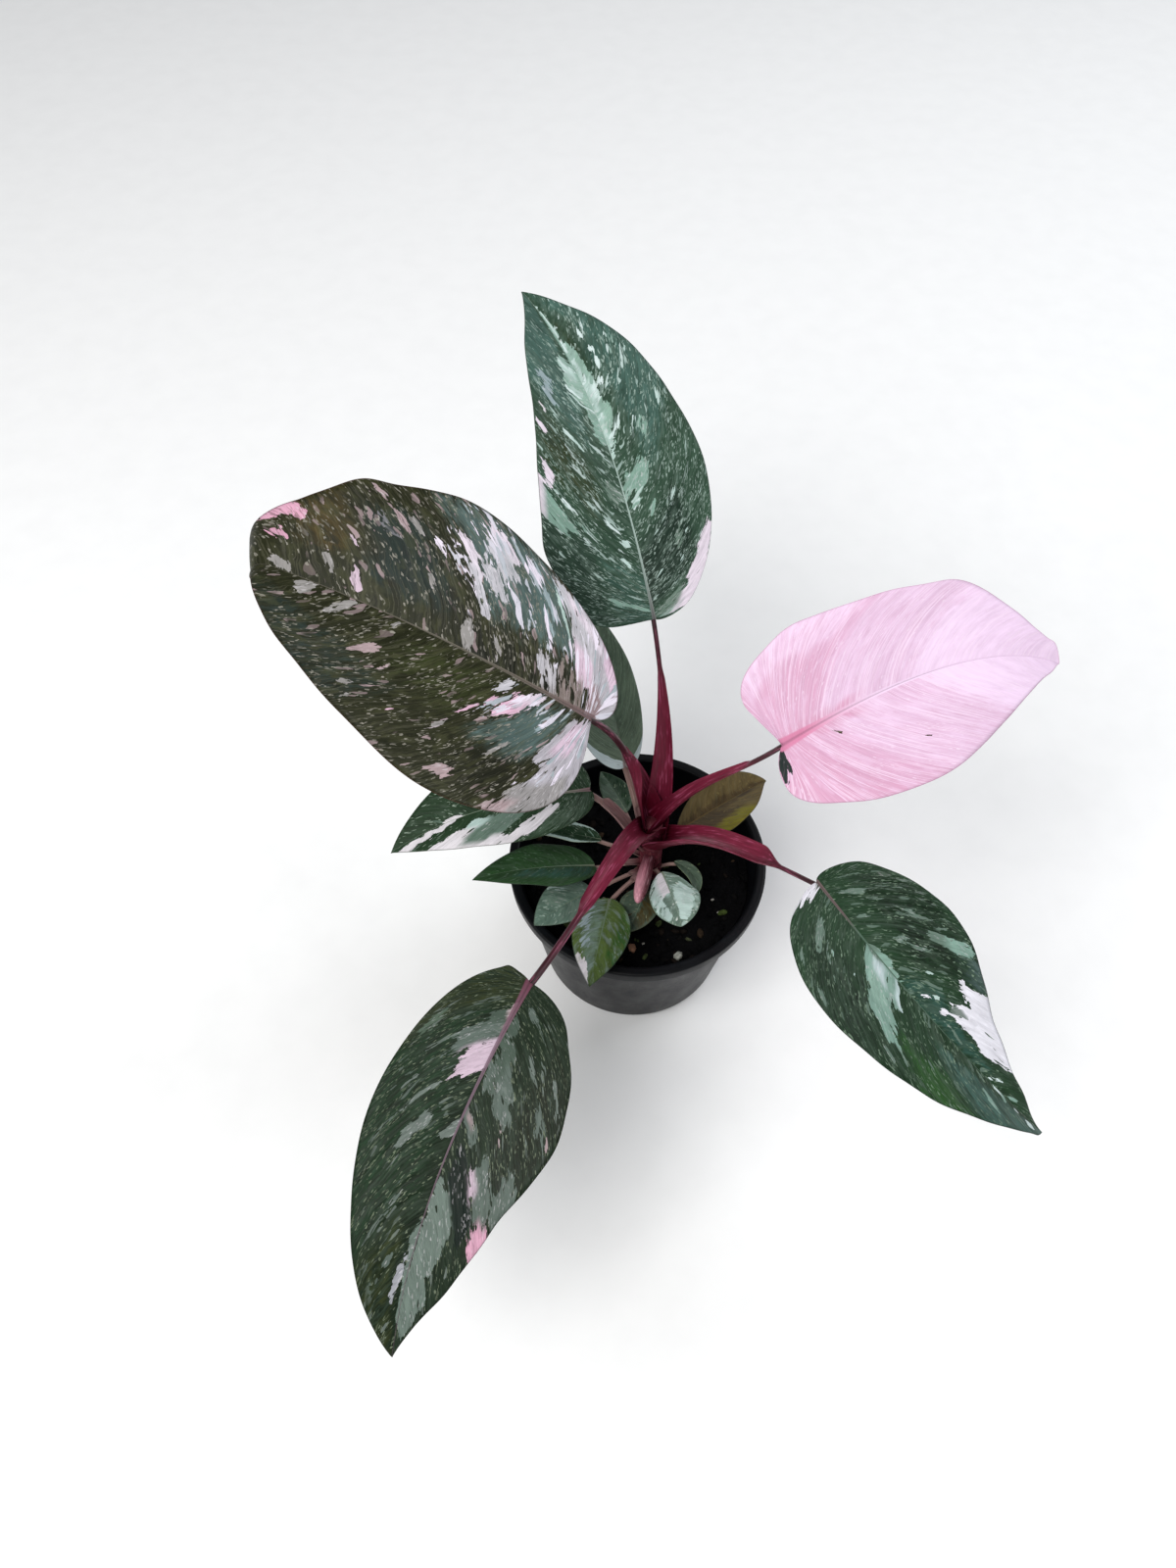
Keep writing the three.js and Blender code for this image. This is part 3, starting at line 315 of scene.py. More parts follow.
LOOKS["front_leaf"] = dict(
    LOOK, ground=(20, 33, 19), flecks=((118, 128, 106), 0.8), spots=("silver", 0.5),
    haze=("grey_green", 0.16), shards=("slate", "silver"), lines=("grey_green", 0.25), streaks=0.4,
    midrib=((108, 64, 80), (118, 98, 110)), rib=1.2, edge=(34, 36, 28),
    left_broken=[("shards", (200, 600, 20, 95, 5))],
    right_broken=[("shards", (200, 900, 10, 95, 3))],
    left_zones=[("dark", (200, 600, 50, 100, 40))],
    right_zones=[
        ("green", (300, 800, 20, 100, 40)),
        ("moss", (0, 300, 0, 100, 50), (780, 1000, 30, 100, 40))],
    left_marks=[
        ("deep_green", (675, 745, 14, 80, 90)),
        ("slate_green", (360, 460, 2, 12), (430, 560, 6, 24)),
        ("slate", (475, 560, 20, 42), (510, 545, 38, 52, 90), (520, 585, 2, 14), (636, 660, 0, 34, 95),
            (600, 672, 50, 90, 95), (500, 600, 82, 100, 90), (288, 315, 68, 78, 95),
            (390, 420, 64, 80, 85), (250, 290, 12, 24, 80)),
        ("pink_grey", (636, 647, 5, 20), (372, 386, 86, 95, 95), (545, 557, 50, 60)),
        ("dusky_pink", (656, 680, 44, 64)),
        ("strong_pink", (640, 692, 84, 100), (610, 650, 93, 100)),
        ("band_slate", (750, 960, 2, 62), (850, 960, 50, 90)),
        ("silver", (375, 390, 33, 46, 95))],
    right_marks=[
        ("slate", (385, 470, 0, 42), (845, 858, 43, 62, 90), (745, 760, 40, 58, 95)),
        ("slate_green", (340, 400, 0, 20, 90)), ("dusky_pink", (460, 552, 0, 28)),
        ("pink_grey", (300, 420, 0, 4, 90)), ("band_slate", (830, 960, 0, 12)),
        ("pale_grey", (862, 880, 10, 20), (874, 896, 16, 28), (890, 912, 24, 36), (906, 925, 32, 44)),
        ("grey_green", (240, 320, 66, 88, 80)),
        ("silver", (536, 553, 38, 64), (606, 644, 34, 62), (668, 690, 0, 20), (470, 485, 60, 74, 80))])
LOOKS["striped_leaf"] = dict(
    LOOK, ground=(34, 54, 34), flecks=((150, 166, 150), 0.6), spots=("grey_mint", 0.5),
    midrib=((130, 104, 108), (130, 144, 126)), edge=(56, 68, 50),
    left_zones=[("grey_green", (100, 400, 10, 90, 50))],
    left_marks=[
        ("grey_mint", (560, 720, 26, 96, 95)), ("pale_mint", (700, 755, 30, 60)),
        ("white", (710, 790, 54, 86), (700, 820, 80, 100), (395, 475, 24, 56), (400, 510, 46, 86),
            (430, 600, 78, 100), (560, 820, 93, 100), (830, 885, 0, 18), (845, 912, 8, 40),
            (872, 935, 26, 66), (900, 955, 50, 100))],
    right_marks=[("white", (810, 870, 0, 10))])
LOOKS["shaded_leaf"] = dict(
    LOOK, ground=(92, 108, 90), flecks=((124, 144, 128), 0.5), spots=("grey_green", 0.5),
    midrib=((132, 116, 114), (96, 116, 98)),
    left_marks=[("ice", (0, 200, 0, 100))],
    right_marks=[("ice", (0, 160, 0, 100))])
LOOKS["fading_leaf"] = dict(
    LOOK, ground="brown", flecks=((110, 98, 60), 0.5), spots=("tan", 0.5), haze=("tan", 0.3),
    midrib=((110, 66, 54), (104, 88, 52)), edge=(84, 72, 42),
    left_zones=[("tan", (200, 1000, 20, 100)), ("leaf_red", (0, 160, 0, 100, 90))],
    right_zones=[
        ("yellow_green", (350, 750, 62, 100)), ("tan", (700, 1000, 30, 100, 80)),
        ("leaf_red", (0, 200, 0, 100, 90)), ("bright_green", (160, 340, 60, 100, 80))])
LOOKS["low_left_leaf"] = dict(
    LOOK, ground=(40, 68, 38), flecks=((96, 120, 100), 0.5), spots=("grey_green", 0.5),
    left_zones=[("sea_green", (200, 800, 10, 60, 70))])
LOOKS["silver_leaf"] = dict(
    LOOK, ground=(86, 108, 96), flecks=((150, 168, 158), 0.8), spots=("grey_mint", 0.9),
    haze=("grey_mint", 0.4), edge=(76, 92, 78),
    left_marks=[("grey_mint", (300, 800, 10, 90, 58))],
    right_marks=[("grey_mint", (300, 800, 10, 90, 50)), ("pale_mint", (500, 580, 50, 95, 70))])
LOOKS["low_front_leaf"] = dict(
    LOOK, ground=(76, 94, 48), flecks=((128, 146, 132), 0.4), spots=("blue_green", 0.6),
    haze=("blue_mint", 0.3),
    left_zones=[("bright_green", (100, 800, 50, 100, 50))],
    # The grey-mint zone and the blue-mint mark of this half are painted sheen: a bluish-white reflection
    # lying on that side of the leaf.
    right_zones=[("grey_mint", (200, 900, 10, 70, 80))],
    right_marks=[
        ("blue_mint", (300, 800, 40, 80, 50)),
        ("white", (740, 980, 80, 100), (820, 950, 60, 90, 80))])
LOOKS["narrow_leaf"] = dict(
    LOOK, ground="green", flecks=((150, 166, 148), 0.5), spots=("mint", 0.4), rib=0.5,
    edge=(150, 160, 130),
    left_marks=[("pale_mint", (50, 950, 70, 100, 90))],
    right_marks=[("pale_mint", (50, 950, 70, 100, 90))])
LOOKS["olive_leaf"] = dict(
    LOOK, ground="grey_green", flecks=((140, 144, 116), 0.5), spots=("olive_brown", 0.9), rib=0.5,
    edge=(86, 90, 70),
    left_zones=[("olive_brown", (0, 900, 10, 90, 80))])
LOOKS["rear_leaf"] = dict(
    LOOK, ground="grey_green", flecks=((140, 154, 130), 0.5), spots=("green", 0.8), rib=0.5,
    edge=(80, 92, 76),
    right_zones=[("green", (300, 1000, 20, 100, 80))])
LOOKS["mint_leaf"] = dict(
    LOOK, ground="grey_mint", flecks=((214, 224, 216), 0.8), spots=("pale_mint", 0.9),
    haze=("pale_mint", 0.5), streaks=0.4, edge=(120, 140, 124),
    left_marks=[("pale_mint", (550, 950, 10, 80, 80))],
    right_marks=[("white", (150, 700, 0, 55)), ("pale_mint", (300, 900, 40, 95, 70))])
LOOKS["curled_leaf"] = dict(
    LOOK, ground="grey_green", flecks=((150, 164, 130), 0.4), spots=("grey_mint", 0.5), rib=0.5,
    edge=(130, 146, 112))

SLOTS = {"pink_leaf": "leaf_pink", "mint_leaf": "leaf_pale", "striped_leaf": "leaf_pale",
         "fading_leaf": "leaf_fading"}

# ---- helpers


def linear(colour):
    """Linear RGBA of an 8-bit sRGB colour, or of its name."""
    shares = np.array(COLOUR[colour] if isinstance(colour, str) else colour, float) / 255
    low, high = shares / 12.92, ((shares + 0.055) / 1.055) ** 2.4
    return np.append(np.where(shares < 0.04045, low, high), 1.0)


def smooth(value, low, high):
    share = np.clip((value - low) / (high - low), 0, 1)
    return share * share * (3 - 2 * share)


def mix(a, b, share):
    return a + (b - a) * share


def direction(heading, pitch):
    """Unit vectors from angles in degrees, one row for each heading and pitch."""
    h, p = np.radians(heading), np.radians(pitch)
    return np.stack([np.cos(p) * np.cos(h), np.cos(p) * np.sin(h), np.sin(p) + 0 * h], -1)


def unit(vectors):
    return vectors / np.maximum(np.linalg.norm(vectors, axis=-1, keepdims=True), 1e-12)


def travelled(points, axis):
    """The length of the way to each point, along an axis of the array."""
    steps = np.cumsum(np.linalg.norm(np.diff(points, axis=axis), axis=-1), axis)
    return np.pad(steps, [(int(k == axis), 0) for k in range(steps.ndim)])


def each(function, x, y):
    """The function's value at each point of two grids."""
    return np.array([[function(a, b) for a, b in zip(*row)] for row in zip(x, y)])


def mesh_object(name, points, faces, attributes):
    """A smooth mesh with points in mm and one value of each attribute for each point."""
    mesh = bpy.data.meshes.new(name)
    mesh.from_pydata([tuple(p) for p in points * MM], [], faces)
    mesh.validate()
    for key, values in attributes.items():
        kind, field = ("FLOAT_COLOR", "color") if values.shape[1] == 4 else ("FLOAT_VECTOR", "vector")
        layer = mesh.attributes.new(key, kind, "POINT")
        layer.data.foreach_set(field, values.astype(np.float32).ravel())
    mesh.polygons.foreach_set("use_smooth", [True] * len(mesh.polygons))
    mesh.update()
    made = bpy.data.objects.new(name, mesh)
    bpy.context.scene.collection.objects.link(made)
    return made


def tube_faces(rings, sides):
    """Faces of a tube of rings, with a fan at each end round one of the two points after them."""
    end = rings * sides
    around = [(j, (j + 1) % sides) for j in range(sides)]
    faces = []
    for i in range(0, end - sides, sides):
        faces += [(i + a, i + b, i + b + sides, i + a + sides) for a, b in around]
    for a, b in around:
        faces += [(end, b, a), (end + 1, end - sides + a, end - sides + b)]
    return faces


def finished(piece, material, slot, *nodes):
    """Gives the piece its material and body, and hides the CAD nodes that it stands for. The slot is not
    used.
    """
    piece.data.materials.append(material)
    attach(piece, "root")
    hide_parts(*nodes)


class Graph:
    """The nodes of one material, built with short calls."""

    def __init__(self, name):
        self.material = bpy.data.materials.new(name)
        self.material.use_nodes = True
        self.tree = self.material.node_tree
        self.tree.nodes.clear()

    def node(self, kind, inputs, **settings):
        made = self.tree.nodes.new(f"ShaderNode{kind}")
        for key, value in settings.items():
            setattr(made, key, value)
        for key, value in inputs.items():
            if isinstance(value, bpy.types.NodeSocket):
                self.tree.links.new(value, made.inputs[key])
            else:
                made.inputs[key].default_value = value
        return made.outputs

    def math(self, operation, a, b, clamp=False):
        return self.node("Math", {0: a, 1: b}, operation=operation, use_clamp=clamp)[0]

    def add(self, total, *values):
        for value in values:
            total = self.math("ADD", total, value)
        return total

    def less(self, a, b):
        return self.math("SUBTRACT", a, b)

    def times(self, a, b):
        return self.math("MULTIPLY", a, b)

    def mix(self, share, a, b):
        """From colour a to colour b. Each is a socket, a name or an 8-bit colour."""
        a, b = (linear(c) if isinstance(c, (str, tuple)) else c for c in (a, b))
        return self.node("Mix", {0: share, 6: a, 7: b}, data_type="RGBA")[2]

    def shade(self, colour, amount):
        """The colour multiplied by a grey amount."""
        return self.node("VectorMath", {0: colour, "Scale": amount}, operation="SCALE")[0]

    def smooth(self, value, low, high):
        inputs = {"Value": value, "From Min": low, "From Max": high}
        return self.node("MapRange", inputs, interpolation_type="SMOOTHSTEP")["Result"]

    def spread(self, value, low, high, start=0.0, end=1.0):
        inputs = {"Value": value, "From Min": low, "From Max": high, "To Min": start, "To Max": end}
        return self.node("MapRange", inputs)["Result"]

    def level(self, noise, start, end):
        """From start to end over the range that a noise mostly takes."""
        return self.spread(noise, 0.3, 0.7, start, end)

    def swing(self, value, amount, low=0.0, high=1.0):
        """The value's range from low to high, spread evenly to both sides of 0."""
        return self.spread(value, low, high, -amount, amount)

    def attribute(self, name):
        return self.node("Attribute", {}, attribute_name=name)

    def parts(self, vector):
        return self.node("SeparateXYZ", {0: vector})

    def place(self):
        return self.node("TexCoord", {})["Object"]

    def scaled(self, vector, size):
        return self.node("VectorMath", {0: vector, 1: [1 / s for s in size]}, operation="MULTIPLY")[0]

    def noise(self, vector, size, detail=2.0, roughness=0.5):
        """Noise whose cells have this size along X, Y and Z of the vector."""
        inputs = {"Vector": self.scaled(vector, size), "Scale": 1.0, "Detail": detail, "Roughness": roughness}
        return self.node("TexNoise", inputs)["Fac"]

    def cells(self, vector, size):
        """Three random values for each cell of this size along X, Y and Z of the vector."""
        inputs = {"Vector": self.scaled(vector, size), "Scale": 1.0}
        return self.parts(self.node("TexVoronoi", inputs)["Color"])

    def wavy(self, vector, size, amount):
        """The vector, moved to and fro along X by up to about half the amount, in waves of this size."""
        shift = self.swing(self.noise(vector, size), amount / 2, 0.25, 0.75)
        offset = self.node("CombineXYZ", {0: shift})[0]
        return self.node("VectorMath", {0: vector, 1: offset}, operation="ADD")[0]

    def surface(self, colour, roughness, height, depth, specular=0.5):
        """Ends the material with a Principled shader. depth is the bump's height in mm."""
        bump = self.node("Bump", {"Height": height, "Distance": depth * MM, "Strength": 1.0})[0]
        inputs = {"Base Color": colour, "Roughness": roughness, "Normal": bump}
        shader = self.node("BsdfPrincipled", {**inputs, "Specular IOR Level": specular})
        self.node("OutputMaterial", {"Surface": shader[0]})
        return self.material


# ---- leaf blades


def midrib(leaf):
    """Place, tangent, left and normal at even steps along the midrib."""
    def angles(share):
        past = np.clip((share - leaf["curl_from"]) / (1 - leaf["curl_from"]), 0, None)
        pitch = leaf["pitch"] - leaf["droop"] * share ** DROOP_POWER - leaf["curl"] * past ** CURL_POWER
        return leaf["heading"] + leaf["bend"] * share ** leaf["bend_power"], pitch

    share = np.linspace(0, 1, MIDRIB_STEPS + 1)
    steps = direction(*angles((share[1:] + share[:-1]) / 2)) * leaf["length"] / MIDRIB_STEPS
    place = np.vstack([[0, 0, 0], np.cumsum(steps, 0)]) + np.array(leaf["base"], float)
    heading, pitch = angles(share)
    tangent = direction(heading, pitch)
    level = direction(heading + 90, 0 * pitch)
    upright = np.cross(tangent, level)
    roll = np.radians(leaf["roll"] + leaf["twist"] * share)[:, None]
    left = level * np.cos(roll) + upright * np.sin(roll)
    return place, tangent, left, upright * np.cos(roll) - level * np.sin(roll)


def margin(leaf, half, turn):
    """Along and across of the half outline, at a turn from 0 at the stalk to pi at the tip."""
    widest, taper = leaf["widest"][half], leaf["taper"][half]
    rise = 2 * taper * widest / (1 - widest)
    fall = 2 * taper - rise

    def shape(t):
        return np.clip(np.sin(t), 1e-9, None) ** rise * np.clip(np.cos(t / 2), 1e-9, None) ** fall

    fullest = shape(2 * math.asin(math.sqrt(widest)))
    back = np.clip(turn / (math.pi / 2), 0, 1)
    lobe = leaf["lobe"][half] * np.sin(math.pi * back) * (1 - back) / LOBE_PEAK
    along = leaf["length"] * (1 - np.cos(turn)) / 2 - lobe
    swells = leaf["swells"][half]
    swell = sum(height * np.exp(-((turn / math.pi - place) / width) ** 2) for place, width, height in swells)
    ease = np.clip(SWELL_EASE * np.sin(turn), 0, 1)
    return along, leaf["half_width"][half] * shape(turn) / fullest + swell * ease


def blade_points(leaf, ribs, half, turn, reach):
    """Points of one half of the blade, at a turn and a reach from the midrib to the margin."""
    end_along, end_across = margin(leaf, half, turn)
    start = leaf["length"] * ((1 - np.cos(turn)) / 2) ** VEIN["lag"]
    bow = start + VEIN["bow"] * (end_along - start)
    stay = 1 - reach
    along = stay ** 2 * start + 2 * reach * stay * bow + reach ** 2 * end_along
    across = 2 * reach * stay * VEIN["spread"] * end_across + reach ** 2 * end_across

    position = np.clip(along / leaf["length"], 0, 1) * MIDRIB_STEPS
    below = np.minimum(position.astype(int), MIDRIB_STEPS - 1)
    share = (position - below)[..., None]
    place, tangent, left, normal = (mix(part[below], part[below + 1], share) for part in ribs)

    width = leaf["half_width"][half]
    spread = (across / width) ** 2
    fold = math.radians(leaf["fold"][half])
    phase = 2 * math.pi * leaf["waves"] * along / leaf["length"] + half * WAVE_PHASE
    lift = across * math.sin(fold) - leaf["arch"] * width * spread + leaf["wave"] * spread * np.sin(phase)
    sideways = (-1 if half else 1) * across * math.cos(fold)
    return (place + tangent * np.minimum(along, 0)[..., None] + left * sideways[..., None]
            + normal * lift[..., None])


# Soft widths of a patch's edges along veins and reach. Zones and marks have three pairs: for the
# mean colour below, for the cover, and for the patch's colour over those before it.
SOFTEST = 0.45  # the widest soft edge of a patch, as a share of its width
BROKEN_EDGE = (0.04, 0.12)
TAKEN_EDGE = (0.008, 0.06)
ZONE_EDGES = ((0.06, 0.2), (0.04, 0.1), (0.03, 0.08))
MARK_EDGES = ((0.03, 0.16), (0.016, 0.09), (0.01, 0.05))


def patches(look, kind):
    """Colour, half, range of veins, range of reach and strength of each patch of this kind."""
    for half, side in enumerate(("left", "right")):
        for colour, *ranges in look[f"{side}_{kind}"]:
            for first, last, inner, outer, *strength in ranges:
                veins, reaches = (first / 1000, last / 1000), (inner / 100, outer / 100)
                yield colour, half, veins, reaches, (*strength, 100)[0] / 100


def covered(patch, spot, soft):
    """How much of a patch covers each spot, from 0 to its strength."""
    _, half, veins, reaches, strength = patch
    cover = (spot[2] == half) * strength
    for value, (low, high), width in zip(spot, (veins, reaches), soft):
        width = min(width, SOFTEST * (high - low))
        if low > 0:
            cover = cover * smooth(value, low - width, low + width)
        if high < 1:
            cover = cover * (1 - smooth(value, high - width, high + width))
    return cover


def laid(regions, spot, near, edge, over):
    """Colour and cover of patches laid over one another, for share, reach and half as the spot."""
    paint, weight, cover = 0, 1e-6, 0 * spot[0]
    for patch in regions:
        if patch[0] is None:
            cover = cover * (1 - covered(patch, spot, TAKEN_EDGE))
            continue
        close = covered(patch, spot, near)[..., None] ** 2 + 1e-6
        paint, weight = paint + close * linear(patch[0]), weight + close
        cover = np.maximum(cover, covered(patch, spot, edge))
    paint = paint / weight * np.ones((*cover.shape, 4))
    for patch in regions:
        if patch[0] is not None:
            paint = mix(paint, linear(patch[0]), covered(patch, spot, over)[..., None])
    return paint, cover


def uneven(u, across, seed):
    """A smooth random value of about -1 to 1 for each point of a blade."""
    size = SHIFT["size"]
    return each(lambda a, b: noise.noise(Vector((a / size, b / size, seed))), u, across)


# The relief of a blade in mm. Ribs, veins and ripples are lower on leaves shorter than full. The
# outlines of the marks are shifted by a smooth random value, with a seed for each leaf.
RELIEF = {"full": 120, "half_thickness": 0.3, "thinning": 0.6, "rib_at_base": 1.15, "rib_at_tip": 0.35,
          "groove": 0.22, "rib": 0.85, "vein_above": 0.13, "vein_under": 0.14, "veins": 24, "vein_drift": 1.7,
          "drift_length": 17, "ripple": 0.35, "ripple_lengths": (4.1, 9.7), "end_ease": 9, "steps_power": 1.3}
SHIFT = {"mm": 1.4, "reach": 0.05, "size": 5, "seed_step": 31.7, "half_step": 13.3, "reach_step": 50}


def blade_faces(rows, width):
    """Faces of rows of points on the upper side, as many under them, and a point at each end."""
    count = rows * width
    base, tip, last_row = 2 * count, 2 * count + 1, count - width
    faces = []
    for a in range(0, last_row, width):
        for j in range(a, a + width - 1):
            faces.append((j, j + 1, j + width + 1, j + width))
            faces.append((count + j, count + j + width, count + j + width + 1, count + j + 1))
        b = a + width - 1
        faces.append((a, a + width, count + a + width, count + a))
        faces.append((b, count + b, count + b + width, b + width))
    for j in range(width - 1):
        k = last_row + j
        faces += [(base, j + 1, j), (base, count + j, count + j + 1)]
        faces += [(tip, k, k + 1), (tip, count + k + 1, count + k)]
    faces += [(base, 0, count), (base, count + width - 1, width - 1)]
    return faces + [(tip, count + last_row, last_row), (tip, count - 1, 2 * count - 1)]


def blade(name):
    """A thin closed blade with a raised midrib below and veins, for the CAD's blade of this name."""
    leaf, look = LEAVES[name], LOOKS[name]
    rows, columns = leaf["grid"]
    ribs = midrib(leaf)
    turn = np.linspace(0, math.pi, rows + 1)[:, None] * np.ones(columns + 1)
    reach = (np.linspace(0, 1, columns + 1) ** RELIEF["steps_power"])[None, :] * np.ones((rows + 1, 1))
    halves = [blade_points(leaf, ribs, half, turn, reach) for half in (0, 1)]
    lengths = [travelled(points, 1) for points in halves]

    def joined(left, right):
        return np.concatenate([left[:, :0:-1], right], 1)

    points, across = joined(*halves), joined(*lengths)
    to_margin = joined(*(length[:, -1:] - length for length in lengths))
    turn, reach, half = joined(turn, turn), joined(reach, reach), joined(0 * turn, 0 * turn + 1)
    share = (1 - np.cos(turn)) / 2
    inner = points[1:-1]
    normal = unit(np.cross(np.gradient(inner, axis=1), points[2:] - points[:-2]))

    # Relief: a thin margin, a groove along the midrib, a round rib under it, and side veins.
    length, scale = leaf["length"], min(1, leaf["length"] / RELIEF["full"])
    u, seed = length * share, SHIFT["seed_step"] * list(LEAVES).index(name)
    rib_width = mix(leaf["radius"] * RELIEF["rib_at_base"], RELIEF["rib_at_tip"], smooth(share, 0, 0.9))
    rib = np.sqrt(np.clip(1 - (across / rib_width) ** 2, 0, 1)) * rib_width
    drift = RELIEF["vein_drift"] * np.sin(u / RELIEF["drift_length"] + half)
    veins = 0.5 + 0.5 * np.cos(2 * math.pi * RELIEF["veins"] * share + drift)
    veins = veins ** 3 * smooth(reach, 0.02, 0.12) * (1 - smooth(reach, 0.8, 1))
    ends = np.clip(np.sin(turn) * RELIEF["end_ease"], 0, 1)
    half_thickness = RELIEF["half_thickness"] * (1 - RELIEF["thinning"] * reach ** 6) * ends
    above = half_thickness - (RELIEF["groove"] * rib + RELIEF["vein_above"] * veins) * ends * scale
    under = half_thickness + (RELIEF["rib"] * rib + RELIEF["vein_under"] * veins) * ends * scale
    short, long = RELIEF["ripple_lengths"]
    ripple = np.sin(u / short + 2 * half + seed) * np.sin(u / long + seed)
    lift = RELIEF["ripple"] * scale * reach ** 3 * ripple * ends

    side = across * (1 - 2 * half)
    shifted = share + SHIFT["mm"] * scale / length * uneven(u, side, seed)
    reached = reach + SHIFT["reach"] * uneven(u, side, seed + SHIFT["reach_step"]) * (1 - reach)
    spot = (shifted, np.clip(reached, 0, 1), half)
    zone, zone_cover = laid(list(patches(look, "zones")), spot, *ZONE_EDGES)
    zone[..., 3] = zone_cover
    paint, cover = laid(list(patches(look, "marks")), spot, *MARK_EDGES)
    broken = 0 * share
    for patch in patches(look, "broken"):
        broken = np.maximum(broken, covered(patch, spot, BROKEN_EDGE))

    def closed(over, below, ends):
        """The values of the upper side, the lower side, the base and the tip."""
        sides = [values.reshape(-1, values.shape[-1]) for values in (over, below)]
        return np.concatenate([*sides, ends[:1, columns], ends[-1:, columns]])

    layers = {
        "vein": np.stack([u, across, seed + SHIFT["half_step"] * half], -1), "zone": zone, "paint": paint,
        "rims": np.stack([across / (rib_width * look["rib"]), to_margin, share], -1),
        "rib": mix(*(linear(colour) for colour in look["midrib"]), smooth(share, *look["turn"])[..., None])}
    attributes = {key: closed(layer[1:-1], layer[1:-1], layer) for key, layer in layers.items()}
    upper, lower = (np.stack([cover, broken, 0 * cover + beneath], -1) for beneath in (0, 1))
    attributes["cover"] = closed(upper[1:-1], lower[1:-1], upper)
    surfaces = [inner + normal * part[1:-1, :, None] for part in (lift + above, lift - under)]
    vertices = closed(*surfaces, points)
    piece = mesh_object(f"{name}_fine", vertices, blade_faces(rows - 1, points.shape[1]), attributes)
    slot = SLOTS.get(name, "leaf_green")
    finished(piece, leaf_material(name, look), slot, f"{name}_blade")


